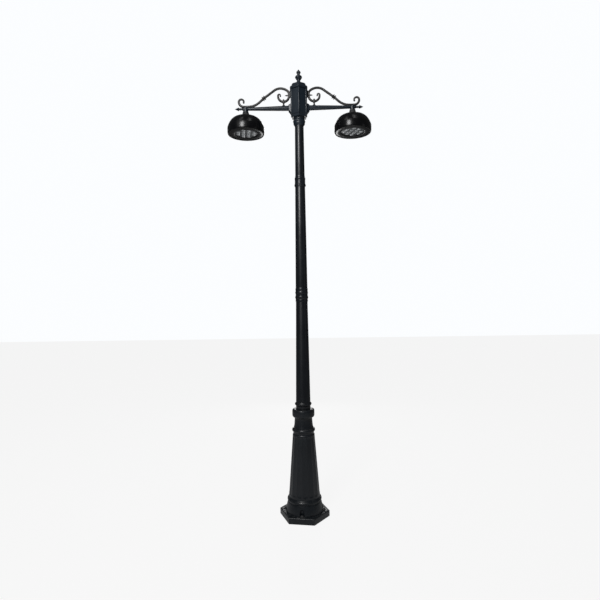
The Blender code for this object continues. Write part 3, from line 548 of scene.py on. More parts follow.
cavity_line = [(0, -10), (100, -10), (100, 105), (94, 150), (body_radius(520) - 9, 520), (55.5, 536)]
cutters = [turned("cavity", cavity_line + [(55.5, 600), (0, 600)], cast_paint, 96)]
ANCHORS = spoked((270, 0, 90, 180), BOLT_CIRCLE)
for x, y in ANCHORS:
    niche = [(0, FLANGE_THICK - 1), (11, FLANGE_THICK - 1), (POCKET, FLANGE_THICK + 1.5)]
    niche += arc(0, 70, POCKET, POCKET, 0, 90)
    cutters.append(turned("niche", niche, cast_paint, 48, place=at(x, y)))
    cutters.append(rod("bolt_hole", 7, -5, 60, cast_paint, place=at(x, y)))
cutters.append(round_block("window", HATCH_WIDTH, HATCH_HEIGHT, 0, 140, 12))


def block(name, size, centre, finish=None, place=None):
    """A rectangular filler or cutter."""
    bm = bmesh.new()
    bmesh.ops.create_cube(bm, size=1, matrix=Matrix.Translation(centre) @ Matrix.Diagonal((*size, 1)))
    return finished(name, bm, finish, place)


shaped(foot_piece, cutters, [flange])
inside_bosses = [
    block("lug_boss", (20, 14, 14), (0, 77, 389), cast_paint),
    block("low_boss", (30, 24, 16), (0, -79.8, 245), cast_paint),
    block("high_boss", (30, 12, 16), (0, -73.8, 415), cast_paint),
]
shaped(foot_piece, fillers=inside_bosses)
foot_piece.data.transform(FOOT_PLACE)
fitted(foot_piece, "post", "cast_paint", "foot_casting")


# ---------------------------------------------------------------- the hatch door
# A piece of the fluted wall, cast with the foot's pattern and coated like it. It closes the window at the
# back with a narrow gap all round, and its captive screw sits in a round recess near the top.

DOOR_GAP = 1.2
DOOR_THICK = 8
SCREW_Z = HATCH_BOTTOM + HATCH_HEIGHT - 18
heights = list(range(HATCH_BOTTOM - 10, HATCH_BOTTOM + HATCH_HEIGHT + 11, 10))
door_wall = [(body_radius(z), z) for z in heights]
door_wall += [(body_radius(z) - DOOR_THICK, z) for z in (heights[-1], heights[0])]
door_piece = turned("hatch_door_piece", door_wall, sides=FLUTES * 20, tube=True)
grown(door_piece, carver, cast_paint, Bottom=0.150, Top=0.538, **flutes)
outline = round_block("outline", HATCH_WIDTH - 2 * DOOR_GAP, HATCH_HEIGHT - 2 * DOOR_GAP, 40, 140,
    12 - DOOR_GAP)
keep = door_piece.modifiers.new("keep", "BOOLEAN")
keep.operation, keep.solver, keep.object = "INTERSECT", "MANIFOLD", outline
plain_mesh(door_piece)
bpy.data.objects.remove(outline, do_unlink=True)
FACE = body_radius(SCREW_Z)
along_y = Matrix.Translation((0, 0, SCREW_Z)) @ Matrix.Rotation(math.radians(-90), 4, "X")
recess = [(0, 30), (4.4, 30), (4.4, FACE - 5), (9.5, FACE - 5), (9.5, FACE + 20), (0, FACE + 20)]
shaped(door_piece, [turned("recess", recess, cast_paint, 48, place=along_y)], bevel=0.5)
door_piece.data.transform(FOOT_PLACE)
fitted(door_piece, "hatch_door", "cast_paint", "hatch_door")


# ---------------------------------------------------------------- the hatch screw and the lug behind it
# A turned stainless screw with a three-sided key socket, left bare. It threads into a folded steel lug that
# is fixed inside the foot, and a collar on its shank keeps it in the door when it is undone.


def metal(name, colour, roughness, grain=(1, 1, 0.05), scratch=0.00002):
    """Machined or rolled metal: brushed along one way, with smudges and small dents."""
    surface = Finish(name, Metallic=1)
    smudges = surface.ease(surface.noise(0.03, 4), 0.35, 0.7)
    brush = surface.noise(0.0012, 2, grain)
    dark = tuple(c * 0.72 for c in colour)
    surface.feeds("Base Color", surface.mix(smudges * 0.7 + brush * 0.2, (*colour, 1), (*dark, 1)))
    surface.feeds("Roughness", smudges * 0.16 + brush * 0.1 + (roughness - 0.1))
    surface.bump((brush, scratch), (surface.noise(0.006, 2), scratch * 2))
    return surface


steel = metal("bright_steel", (0.42, 0.43, 0.44), 0.34)
zinc = metal("zinc_plate", (0.30, 0.31, 0.32), 0.46, (1, 1, 1), 0.00004)


def hex_key(name, half, low, high, place, sides=6):
    """A cutter for the key socket of a screw."""
    rings = [[(half * math.cos(math.tau * i / sides + math.pi / 2),
        half * math.sin(math.tau * i / sides + math.pi / 2), z)
              for i in range(sides)] for z in (low, high)]
    return lofted(name, rings, steel, place)


screw_line = [(0, 49), (2.2, 49), (3.2, 51.5)]
for turn in range(9):
    z = 52 + turn * 1.25
    screw_line += [(3.2, z), (2.75, z + 0.62)]
screw_line += [(3.2, 63.5), (3.2, FACE - 12), (3.9, FACE - 12), (3.9, FACE - 4.6), (8.6, FACE - 4.6),
    (9, FACE - 4.2)]
screw_line += [(9, FACE - 1.6), (8.6, FACE - 0.9), (7.8, FACE - 0.5), (0, FACE - 0.4)]
screw_piece = turned("hatch_screw_piece", screw_line, steel, 64, place=along_y)
shaped(screw_piece, [hex_key("key", 4, FACE - 3, FACE + 5, along_y, 3)], bevel=0.15)
screw_piece.data.transform(FOOT_PLACE)
fitted(screw_piece, "hatch_screw", "steel", "hatch_screw")

lug_piece = block("screw_lug_piece", (22, 6, 48), (0, 66.6, 374), zinc)
lug_hole = rod("lug_hole", 4.3, 50, 80, zinc, 48, place=along_y)
shaped(lug_piece, [lug_hole], bevel=0.8)
lug_piece.data.transform(FOOT_PLACE)
fitted(lug_piece, "post", "steel", "screw_lug")


# ---------------------------------------------------------------- the anchor bolts
# Four flanged hexagon bolts, hot forged and painted over with the post. Each stands in its pocket in the
# skirt, on the flange, with a worn bright rim where the spanner turned it.

bolt_paint = powder_coat("painted_bolts", (0.030, 0.033, 0.036), (0.075, 0.076, 0.078), 0.42, 0.5, 0.2)
T = FLANGE_THICK
bolt_line = [(0, 1), (6, 1), (6, T + GAP), (11.4, T + GAP), (12, T + 0.9), (12, T + 2), (11.5, T + 2.5),
    (8.6, T + 4), (0, T + 4)]
bolt = turned("bolt", bolt_line, bolt_paint, 48)
head_rings = [round_hexagon(9.5, T + 3, 90, 0.8), round_hexagon(9.5, T + 10, 90, 0.8),
    round_hexagon(9.2, T + 10.7, 90, 1.5)]
head_rings.append(round_hexagon(8, T + 11.5, 90, 4))
shaped(bolt, fillers=[lofted("head", head_rings, bolt_paint)])


def sown_copies():
    """Sets a copy of one piece at each point, turned about the axis by an even step."""
    graph, size = geometry_tree("sown_copies", Step=0.0)
    graph.tree.interface.new_socket("Piece", in_out="INPUT", socket_type="NodeSocketObject")
    source = next(n for n in graph.tree.nodes if n.type == "GROUP_INPUT")
    piece = Wire(graph, source.outputs["Piece"])
    copy = graph.node("GeometryNodeObjectInfo", {"transform_space": "ORIGINAL"}, {"Object": piece},
        "Geometry")
    turn = graph.node("GeometryNodeInputIndex") * size["Step"]
    facing = graph.node("ShaderNodeCombineXYZ", {}, {"Z": turn})
    inputs = {"Points": size["Geometry"], "Instance": copy, "Rotation": facing}
    tree_ends(graph, graph.node("GeometryNodeInstanceOnPoints", {}, inputs), size["Material"])
    return graph


def sown(name, pattern, points, finish, step=0.0, place=None):
    """Copies of a pattern piece at points in millimetres, as one piece. The pattern is used up."""
    mesh = bpy.data.meshes.new(name)
    mesh.from_pydata([tuple(c * MM for c in point) for point in points], [], [])
    piece = bpy.data.objects.new(name, mesh)
    scene.collection.objects.link(piece)
    modifier = piece.modifiers.new("copies", "NODES")
    modifier.node_group = COPIES.tree
    modifier_input(modifier, "Material", finish.material)
    modifier_input(modifier, "Step", step)
    modifier_input(modifier, "Piece", pattern)
    plain_mesh(piece)
    bpy.data.objects.remove(pattern, do_unlink=True)
    smoothed(piece.data)
    if place is not None:
        piece.data.transform(place)
    return piece


COPIES = sown_copies()
bolts = sown("anchor_bolts", bolt, [(x, y, 0) for x, y in ANCHORS], bolt_paint, math.radians(17), FOOT_PLACE)
fitted(bolts, "post", "steel", "anchor_bolt_1", "anchor_bolt_2", "anchor_bolt_3", "anchor_bolt_4")


# ---------------------------------------------------------------- the collar and the pole
# The collar is a turned casting that sits in the foot and takes the lowest tube. The pole is three drawn
# aluminium tubes, each tapered and a little thinner than the one below, plugged into two beaded couplings.

pole_paint = powder_coat("satin_black_on_tube", (0.0045, 0.0065, 0.010), (0.008, 0.011, 0.015), 0.38, 0.7,
    0.06)

collar_line = [(54.4, 545), (54.4, 588.3), (66, 588.3), (65.4, 592), (63.5, 600), (61.6, 613), (60.6, 626)]
collar_line += [(59.6, 640), (58.8, 651), (59.6, 657), (62.4, 660.4)] + arc(64, 676, 10.5, 15.4, -62, 0, 14)
collar_line += [(74.6, 690), (74.5, 703), (73.8, 707.5), (71.5, 711), (67, 713.2), (60, 714), (44.5, 714)]
collar_line += [(44.5, 656), (40, 650), (40, 545)]
collar = turned("collar", eased(collar_line, 0.8), cast_paint, 128, tube=True)
fitted(collar, "post", "cast_paint", "collar_casting")


def pole_tube(name, bottom, top, radii, low_spigot, high_spigot, ring=()):
    """A tapered tube with a turned-down spigot at either end; ring is a raised band's profile."""
    wall = 4.5
    low_r, high_r = radii
    outside = [(low_spigot[0], low_spigot[1]), (low_spigot[0], bottom), (low_r, bottom), *ring]
    outside += [(high_r, top), (high_spigot[0], top), (high_spigot[0], high_spigot[1])]
    bore_high, bore_low = high_spigot[0] - wall, low_spigot[0] - wall
    inside = [(bore_high, high_spigot[1]), (bore_high, top - 12), (high_r - wall, top - 30)]
    inside += [(low_r - wall, bottom + 30), (bore_low, bottom + 12), (bore_low, low_spigot[1])]
    return turned(name, eased(outside + inside, 0.7), pole_paint, 96, tube=True)


JOINT_1, JOINT_2 = (1433, 1527), (2205, 2283)
band = [(48.95, 736)] + arc(48.5, 748, 7.5, 9, -72, 72, 14) + [(48.5, 760)]
low_tube = pole_tube("lower_tube", 714.3, JOINT_1[0] - GAP, (49.3, 39.2), (44, 657), (33.5, 1479), band)
middle_tube = pole_tube("middle_tube", JOINT_1[1] + GAP, JOINT_2[0] - GAP, (39.6, 33.4), (33.5, 1481),
    (27.5, 2243))
high_tube = pole_tube("upper_tube", JOINT_2[1] + GAP, 2616, (31.6, 29.4), (27.5, 2245), (28.3, 2684))
fitted(low_tube, "post", "cast_paint", "lower_pole")
fitted(middle_tube, "post", "cast_paint", "middle_pole")
fitted(high_tube, "post", "cast_paint", "upper_pole")

low_beads = [(40, 1433), (41.3, 1438), (41.3, 1447), (40.2, 1451)] + arc(40, 1464, 3.8, 9, -70, 70)
low_beads += [(41, 1474), (41, 1488)] + arc(40, 1496, 3, 7, -60, 60)
low_beads += [(40.4, 1507), (41.5, 1512), (41.5, 1520), (40.2, 1527), (34.2, 1527), (34.2, 1433)]
coupling = turned("lower_coupling_piece", eased(low_beads, 0.8), cast_paint, 96, tube=True)
fitted(coupling, "post", "cast_paint", "lower_coupling")

high_beads = [(34, 2205), (33.7, 2207)] + arc(33.5, 2218, 5, 8, -70, 52)
high_beads += [(35.3, 2226), (35.1, 2231), (34.8, 2251)]
high_beads += arc(32.5, 2262, 3.7, 8, -42, 74) + [(32.6, 2274), (32.2, 2283), (28.2, 2283), (28.2, 2205)]
coupling = turned("upper_coupling_piece", eased(high_beads, 0.8), cast_paint, 96, tube=True)
fitted(coupling, "post", "cast_paint", "upper_coupling")


# ---------------------------------------------------------------- the head's socket, block, cap and finial
# Aluminium castings in the same coat. The socket turns on the pole's top under two set screws. The six-sided
# block stands on it, with a round rib on every corner, and a two-tier cap closes it under a turned finial.

head_paint = powder_coat("satin_black_on_head", (0.005, 0.012, 0.021), (0.009, 0.018, 0.030), 0.45, 0.8, 0.10)

socket_line = [(30, 2616.3), (31.5, 2619), (35, 2624), (38, 2629), (38.6, 2632), (38.4, 2638)]
socket_line += arc(36, 2648, 5.4, 8, -66, 78)
socket_line += [(34.6, 2658), (33.6, 2661), (33.8, 2665), (36, 2668.4), (38.5, 2670), (38.5, 2671.7),
    (34, 2671.7), (34, 2699), (10, 2699)]
socket_line += [(10, 2687), (29.2, 2687), (29.2, 2616.3)]
socket = turned("socket", eased(socket_line, 0.7), head_paint, 96, tube=True)
SET_SCREW_TURNS = (60, 240)
holes = []
for angle in SET_SCREW_TURNS:
    outwards = at(0, 0, 2653, angle) @ Matrix.Rotation(math.pi / 2, 4, "Y")
    holes.append(rod("hole", 3.4, 20, 50, head_paint, place=outwards))
shaped(socket, holes)
fitted(socket, "head", "cast_paint", "head_socket")

for n, angle in enumerate(SET_SCREW_TURNS, 1):
    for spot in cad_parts[f"head_set_screw_{n}"].material_slots:
        spot.material = steel.material

RIB = 6.5


def ribbed_hexagon(half, z, reach):
    """A level hexagon with a round rib on each corner, or with a small round corner."""
    corner = (half - reach / 2) / math.cos(math.radians(30))
    ring = []
    for i in range(6):
        a = 90 + 60 * i
        cx, cy = corner * math.cos(math.radians(a)), corner * math.sin(math.radians(a))
        ring += [(cx + px, cy + py, z) for px, py in arc(0, 0, reach, reach, a - 88, a + 88, 10)]
    return ring


slab = [(44.5, 2672), (45.6, 2673.4), (46.8, 2675), (47.5, 2677), (47.5, 2685), (47.9, 2687), (49, 2688)]
rings = [ribbed_hexagon(half, z, 1.4) for half, z in slab]
rings += [ribbed_hexagon(half, z, reach) for half, z, reach in (
    (50.2, 2689, 3), (51.5, 2690.3, 5.6), (52, 2692, RIB), (52, 2856.4, RIB),
    (51.6, 2857.6, RIB - 0.4), (50.5, 2858, RIB - 1.4),
)]
block_piece = lofted("block", rings, head_paint)
along_x = Matrix.Rotation(math.pi / 2, 4, "Y")
ARM_Z = 2740
arm_axis = Matrix.Translation((0, 0, ARM_Z)) @ along_x
hollow = lofted("hollow", [round_hexagon(45, z, 90, 4) for z in (2704, 2900)], head_paint)
seat = turned("seat", [(0, 2660), (34.3, 2660), (34.3, 2699.5), (11, 2699.5), (11, 2710), (0, 2710)],
    head_paint, 96)
wires = rod("wires", 9, -80, 80, head_paint, 48, place=arm_axis)
shaped(block_piece, [hollow, seat, wires])
fitted(block_piece, "head", "cast_paint", "head_block")

tiers = [(44.7, 2846), (44.7, 2858.3), (56.6, 2858.3), (57.4, 2858.6), (58.2, 2860), (58.8, 2862.5),
    (58.8, 2867.5), (58.2, 2869.4)]
tiers += [(56, 2873), (53.4, 2876.4), (50.6, 2879), (48, 2880.4), (47, 2881.8), (46.6, 2884)]
tiers += arc(26, 2884, 20.4, 19, 8, 80, 12) + [(22, 2904.4), (16, 2909.5)]
cap = lofted("cap", [round_hexagon(half, z, 90, 2.2) for half, z in tiers], head_paint)
hollow = lofted("hollow", [round_hexagon(half, z, 90, 3) for half, z in ((40, 2840), (40, 2870), (24, 2890))],
    head_paint)
stud_hole = rod("stud_hole", 4.3, 2880, 2920, head_paint)
shaped(cap, [hollow, stud_hole])
fitted(cap, "head", "cast_paint", "head_cap")

spike = [(0, 2893), (3.9, 2893), (3.9, 2909), (18.5, 2906), (18.2, 2909), (15, 2912.6), (13, 2916.6),
    (12.2, 2920.6)]
spike += [(12, 2925), (12.6, 2929), (14, 2931.6), (17, 2933.2), (17.6, 2934.6)]
spike += arc(0, 2947, 23.4, 14.6, -44, 60, 18)
spike += [(10.4, 2961.2), (9.8, 2963.2), (9.6, 2966), (10, 2968.6)] + arc(0, 2980, 14.6, 11, -48, 42, 14)
spike += [(8.6, 2989), (6, 2992.6), (3.6, 2996.5), (1.6, 2999.2), (0, 3000)]
finial = turned("finial_piece", eased(spike, 0.5), head_paint, 64)
fitted(finial, "head", "cast_paint", "finial")


# ---------------------------------------------------------------- the arms
# Each arm is a tapered tube cast in one with the bracket at its root and the hub at its end. It bolts to the
# block, a small socket screw in the hub holds the lamp's stem, and a turned spear closes its tip.

LAMP_X = 360
HUB_BOTTOM, HUB_TOP = 2720, 2750


def bracket_ring(x, half_w, low, high, corner=8):
    """A section across the bracket: a plate with round corners."""
    ring = []
    for quarter, (sy, z) in enumerate(((1, high - corner), (-1, high - corner), (-1, low + corner),
        (1, low + corner))):
        ring += arc(sy * (half_w - corner), z, corner, corner, quarter * 90, quarter * 90 + 90, 6)
    return [(x, y, z) for y, z in ring]


def arm_radius(x):
    return 17 - 7.4 * (x - 73) / (LAMP_X - 73)


for side_name, side in (("left", -1), ("right", 1)):
    flip = Matrix.Rotation(math.pi if side < 0 else 0, 4, "Z")
    axis = flip @ arm_axis
    hub_axis = Matrix.Translation((side * LAMP_X, 0, 0))
    taper = [(0, 56.3), (16, 56.3)] + [(arm_radius(x), x) for x in (73, 140, 210, 280, 330, LAMP_X)]
    taper += [(0, LAMP_X)]
    arm = turned(f"arm_{side_name}_piece", taper, head_paint, 64, place=axis)
    sections = [(52.3, 21.3, 2697.3, 2766.7), (52.7, 21.5, 2697, 2767), (54.5, 21.5, 2698.6, 2766.8)]
    sections += [(57, 21.4, 2702, 2766), (61, 20.8, 2708, 2763.6), (66, 20, 2714, 2761)]
    sections += [(69.5, 19.2, 2717.4, 2759), (71, 18.2, 2719.4, 2757.6)]
    bracket = lofted("bracket", [bracket_ring(*section) for section in sections], head_paint, flip)
    hub_line = [(0, HUB_BOTTOM), (16.4, HUB_BOTTOM), (17.2, HUB_BOTTOM + 0.7), (17.5, HUB_BOTTOM + 2),
        (17.5, HUB_TOP - 5)]
    hub_line += arc(12.5, HUB_TOP - 5, 5, 5, 0, 84, 8) + [(0, HUB_TOP)]
    hub = turned("hub", hub_line, head_paint, 64, place=hub_axis)
    bore = rod("bore", 6, 40, LAMP_X, head_paint, place=axis)
    stem_bore = rod("stem_bore", 10.4, 2700, 2746, head_paint, 48, place=hub_axis)
    tip_hole = rod("tip_hole", 3.3, 364, 390, head_paint, place=axis)
    towards_front = Matrix.Translation((side * LAMP_X, 0, 2733)) @ Matrix.Rotation(math.pi / 2, 4, "X")
    screw_hole = rod("screw_hole", 2.9, 5, 30, head_paint, place=towards_front)
    shaped(arm, [bore, stem_bore, tip_hole, screw_hole], [bracket, hub])
    fitted(arm, "head", "cast_paint", f"arm_{side_name}")

    grub = turned("grub", [(0, 10.5), (2, 10.5), (2.5, 11.5), (2.5, 16.2), (2.2, 16.6), (0, 16.6)],
        bolt_paint, 32, place=towards_front)
    shaped(grub, [hex_key("key", 1.4, 14, 20, towards_front)])
    grub.name = f"hub_screw_{side_name}_piece"
    fitted(grub, "head", "steel", f"hub_screw_{side_name}")

    spear = [(0, 366), (3, 366), (3, 378.2), (8.9, 378.2), (9.5, 378.9), (9.5, 382.2), (8.8, 383.4),
        (7, 385.6), (6.4, 388)]
    spear += [(6.4, 391.5), (7.2, 394.4), (8.4, 396), (8.4, 398), (6.8, 399.6), (5.4, 401), (5.6, 403),
        (8.4, 404.6), (10.8, 405.8)]
    spear += [(11.2, 407), (10.6, 409.4), (8.6, 414), (5.8, 420.6), (3.2, 427), (1.2, 431.6), (0, 433)]
    tip = turned(f"arm_tip_{side_name}_piece", spear, head_paint, 48, place=axis)
    fitted(tip, "head", "cast_paint", f"arm_tip_{side_name}")


# ---------------------------------------------------------------- the scrollwork
# One forged round bar for each arm, bent into a curl at either end and finished with a ball. It hangs on a
# pad on the block, and a turned clasp stands under its lowest bend. A double-collared knop is threaded on its
# slope.

forged = Finish("hammered_dark_paint")
clouds = forged.noise(0.05, 4)
rub = forged.ease(forged.noise(0.008, 3), 0.55, 0.72)
dust = forged.ease(forged.upward(), 0.3, 0.95) * forged.ease(forged.noise(0.015, 4), 0.35, 0.7)
coat = forged.mix(forged.ease(clouds, 0.35, 0.65), (0.030, 0.031, 0.033, 1), (0.055, 0.053, 0.052, 1))
coat = forged.mix(rub * 0.35, coat, (0.085, 0.078, 0.070, 1))
forged.feeds("Base Color", forged.mix(dust * 0.3, coat, (0.22, 0.21, 0.19, 1)))
forged.feeds("Roughness", clouds * 0.14 + rub * 0.12 + dust * 0.15 + 0.30)
forged.feeds("Metallic", rub * 0.3)
forged.bump((forged.cells(0.006, stretch=(1, 1, 0.8)), 0.0005), (forged.noise(0.0016, 2), 0.0001))

BAR = 4.6
PAD_FACE = 62
SCROLL_FLAT = 335
SLIM_IN, STOUT, SLIM_OUT = 4, 8, 5.6
KNOP_SHARE = 1.16


def bent(x, z, heading, bends):
    """The centre line of a bent bar. Each bend is (radius, degrees), or (length, 0) for a straight."""
    line = [(x, z, heading)]
    for size, turn in bends:
        steps = max(1, round(abs(turn) / 6))
        for _ in range(steps):
            a, b = math.radians(heading), math.radians(heading + turn / steps)
            if turn == 0:
                x, z = x + size * math.cos(a), z + size * math.sin(a)
            else:
                swing = size if turn > 0 else -size
                x, z = x + swing * (math.sin(b) - math.sin(a)), z + swing * (math.cos(a) - math.cos(b))
            heading += turn / steps
            line.append((x, z, heading))
    return line


curl = [(7.9, -180), (6, 0), (37, -90), (36, -90), (17, 0), (26, -50), (75, -40)]
slope = [(70, -36), (75, 0), (300, -6), (21, 0), (110, 42)]
line = bent(124.9, 2827, 90, curl + slope + [(32, 0), (34, 90), (17, 165), (11, 22)])
flat = next(i for i, (x, z, heading) in enumerate(line) if x > SCROLL_FLAT and round(heading) % 360 == 0)
shift_x = PAD_FACE + GAP + BAR - min(x for x, z, heading in line)
shift_z = ARM_Z + arm_radius(SCROLL_FLAT) + GAP + BAR - line[flat][1]
line = [(x + shift_x, z + shift_z, heading) for x, z, heading in line]


def ball_end(x, z, heading, radius):
    """Points that run on from a bar's end with the radii of a ball."""
    a = math.radians(heading)
    points = []
    for angle in range(32, 180, 12):
        along = radius * (math.cos(math.radians(32)) - math.cos(math.radians(angle)))
        points.append((x + along * math.cos(a), z + along * math.sin(a),
            radius * math.sin(math.radians(angle))))
    return points + [(x + radius * 1.85 * math.cos(a), z + radius * 1.85 * math.sin(a), 0.05)]


def forged_bar():
    """Sweeps a round bar along a line of points by their own radius, and leaves the hammer's flats on it."""
    graph, size = geometry_tree("forged_bar", Sides=20, Flats=0.0003, Grain=110.0)
    radius = graph.node("GeometryNodeInputNamedAttribute", {"data_type": "FLOAT"}, {"Name": "bar_radius"})
    curve = graph.node("GeometryNodeMeshToCurve", {}, {"Mesh": size["Geometry"]})
    ring = graph.node("GeometryNodeCurvePrimitiveCircle", {}, {"Resolution": size["Sides"], "Radius": 1.0})
    swept = graph.node("GeometryNodeCurveToMesh", {},
        {"Curve": curve, "Profile Curve": ring, "Scale": radius, "Fill Caps": True})
    lumps = graph.node("ShaderNodeTexNoise", {}, {"Scale": size["Grain"], "Detail": 1.0})
    normal = graph.node("GeometryNodeInputNormal")
    depth = (lumps - 0.5) * size["Flats"]
    push = graph.node("ShaderNodeVectorMath", {"operation": "SCALE"}, {"Vector": normal, "Scale": depth})
    moved = graph.node("GeometryNodeSetPosition", {}, {"Geometry": swept, "Offset": push})
    tree_ends(graph, moved, size["Material"])
    return graph


BAR_SWEEP = forged_bar()
first, last = line[0], line[-1]


def bar_radius(share):
    """The bar is thickest over the long bend and tapers to its two curls."""
    return min(STOUT, SLIM_IN + share * 13, SLIM_OUT + (1 - share) * 8)


start = ball_end(first[0], first[1], first[2] + 180, SLIM_IN + 1.2)[::-1]
runs = [(x, z, bar_radius(i / len(line))) for i, (x, z, heading) in enumerate(line)][1:-1]
stations = start + runs + ball_end(*last, SLIM_OUT + 1)
low_x, low_z = min(((x, z) for x, z, heading in line if x < 150), key=lambda point: point[1])

for side_name, side in (("left", -1), ("right", 1)):
    flip = Matrix.Rotation(math.pi if side < 0 else 0, 4, "Z")
    mesh = bpy.data.meshes.new("scroll_line")
    mesh.from_pydata([(side * x * MM, 0, z * MM) for x, z, r in stations],
        [(i, i + 1) for i in range(len(stations) - 1)], [])
    mesh.attributes.new("bar_radius", "FLOAT", "POINT").data.foreach_set("value",
        [r * MM for x, z, r in stations])
    scroll = bpy.data.objects.new(f"scroll_{side_name}_piece", mesh)
    scene.collection.objects.link(scroll)
    grown(scroll, BAR_SWEEP, forged, Flats=0.0007)
    thorn_line = [(0, 0), (3.4, 0), (3, 4), (2.6, 7), (3.2, 9), (4.6, 11), (5, 12.4), (4.7, 15), (3.6, 18.5),
        (1.8, 24), (0, 29)]
    thorn_place = flip @ Matrix.Translation((PAD_FACE + GAP + BAR, 0, 2826)) @ along_x
    shaped(scroll, fillers=[turned("thorn", thorn_line, forged, 32, place=thorn_place)])
    fitted(scroll, "head", "forged_paint", f"scroll_{side_name}")

    base = ARM_Z + arm_radius(low_x) + GAP
    clasp = [(0, base), (8.4, base), (9.3, base + 0.8), (9.5, base + 2.2), (8.6, base + 3.6),
        (6.2, base + 5.2), (5.2, base + 8)]
    clasp += [(5, low_z - 14), (5.6, low_z - 12), (8, low_z - 8.4), (8.9, low_z - 5), (9.1, low_z),
        (8.8, low_z + 4)]
    clasp += [(7.4, low_z + 6.6), (6, low_z + 8), (6.3, low_z + 9.5), (6.4, low_z + 11), (5, low_z + 14),
        (2.4, low_z + 17.6), (0, low_z + 19)]
    saddle = turned("saddle", clasp, forged, 64, place=flip @ at(low_x, 0))
    bend = [station for station in runs if abs(station[0] - low_x) < 30 and station[1] < low_z + 25]
    thickest = max(radius for x, z, radius in bend)
    groove = bpy.data.curves.new("groove", "CURVE")
    groove.dimensions, groove.bevel_depth, groove.bevel_resolution = "3D", (thickest + 0.4) * MM, 6
    groove.use_fill_caps = True
    run = groove.splines.new("POLY")
    run.points.add(len(bend) - 1)
    for point, (x, z, radius) in zip(run.points, bend):
        point.co = (side * x * MM, 0, z * MM, 1)
    channel = bpy.data.objects.new("groove", groove)
    scene.collection.objects.link(channel)
    solid = bpy.data.objects.new("channel",
        bpy.data.meshes.new_from_object(channel.evaluated_get(bpy.context.evaluated_depsgraph_get())))
    scene.collection.objects.link(solid)
    bpy.data.objects.remove(channel, do_unlink=True)
    capped = bmesh.new()
    capped.from_mesh(solid.data)
    bmesh.ops.remove_doubles(capped, verts=capped.verts, dist=0.01 * MM)
    bmesh.ops.recalc_face_normals(capped, faces=capped.faces)
    capped.to_mesh(solid.data)
    capped.free()
    shaped(saddle, [solid])
    saddle.name = f"scroll_foot_{side_name}_piece"
    fitted(saddle, "head", "forged_paint", f"scroll_foot_{side_name}")

    corner = next(i for i in range(len(line) - 1) if math.dist(line[i][:2], line[i + 1][:2]) > 70)
    (x0, z0, heading), (x1, z1, _) = line[corner], line[corner + 1]
    knop_x, knop_z = x0 + (x1 - x0) * KNOP_SHARE, z0 + (z1 - z0) * KNOP_SHARE
    half = [(8.9, 0), (9.2, 1), (10.4, 2.6), (12.8, 4.2), (15.2, 5.6), (16, 6.6), (15.6, 7.6), (12.8, 8.4),
        (9.4, 9.2), (8.4, 11), (BAR, 11.2)]
    knop_line = [(r, -along) for r, along in reversed(half)] + half[1:]
    lean = Matrix.Rotation(math.radians(90 - heading), 4, "Y")
    knop_place = flip @ Matrix.Translation((knop_x, 0, knop_z)) @ lean
    knop = turned(f"scroll_knop_{side_name}_piece", knop_line, forged, 48, tube=True, place=knop_place)
    fitted(knop, "head", "forged_paint", f"scroll_knop_{side_name}")

    pad = block("pad", (PAD_FACE - 52.3, 14, 46), ((PAD_FACE + 52.3) / 2, 0, 2834), forged, flip)
    shaped(pad, bevel=1.4)
    pad.name = f"scroll_pad_{side_name}_piece"
    fitted(pad, "head", "forged_paint", f"scroll_pad_{side_name}")


# ---------------------------------------------------------------- the lamps
# Each lamp is a spun aluminium dome in gloss black, hung from a turned stem that goes up into the arm's hub.
# A black ring in its mouth holds the frosted lens plate under a white board of twelve lights and a finned
# heat sink.

gloss = Finish("gloss_black_lacquer", Specular_IOR_Level=0.35, Coat_Weight=0.25, Coat_Roughness=0.24)
haze = gloss.ease(gloss.noise(0.06, 4), 0.4, 0.7)
fallen = gloss.ease(gloss.upward(), 0.55, 0.98) * gloss.ease(gloss.noise(0.02, 4), 0.35, 0.7)
runs = gloss.ease(gloss.noise(0.011, 3, (1, 1, 0.08)), 0.56, 0.75)
gloss.feeds("Base Color", gloss.mix(fallen * 0.10 + runs * 0.02, (0.0020, 0.0021, 0.0030, 1),
    (0.20, 0.19, 0.18, 1)))
gloss.feeds("Roughness", haze * 0.06 + runs * 0.05 + fallen * 0.20 + 0.24)
gloss.bump((gloss.noise(0.05, 1), 0.0002), (gloss.noise(0.0025, 1), 0.00003))

frosted = Finish("frosted_lens_plate", IOR=1.49, Transmission_Weight=0.25, Coat_Weight=0.3)
frosted.feeds("Base Color", frosted.mix(frosted.noise(0.03, 3), (0.13, 0.14, 0.15, 1), (0.18, 0.19, 0.20, 1)))
frosted.feeds("Roughness", frosted.noise(0.02, 3) * 0.12 + 0.26)
frosted.bump((frosted.noise(0.0008, 1), 0.00004))

clear = Finish("clear_lens", IOR=1.49, Transmission_Weight=0.15, Coat_Weight=0.5)
clear.feeds("Base Color", clear.mix(clear.noise(0.02, 2), (0.80, 0.84, 0.86, 1), (0.90, 0.93, 0.95, 1)))
clear.feeds("Roughness", clear.noise(0.01, 2) * 0.08 + 0.06)
clear.bump((clear.cells(0.0016), 0.00012))

aluminium = metal("sawn_aluminium", (0.60, 0.61, 0.62), 0.36, (0.05, 1, 1))
board_mask = Finish("white_board_mask", Coat_Weight=0.2)
tracks = board_mask.ease(board_mask.cells(0.006, "Distance"), 0.42, 0.5)
board_mask.feeds("Base Color", board_mask.mix(tracks * 0.25, (0.74, 0.75, 0.73, 1), (0.50, 0.53, 0.48, 1)))
board_mask.feeds("Roughness", board_mask.noise(0.01, 2) * 0.1 + 0.35)
board_mask.bump((tracks, 0.00004), (board_mask.noise(0.001, 1), 0.00002))

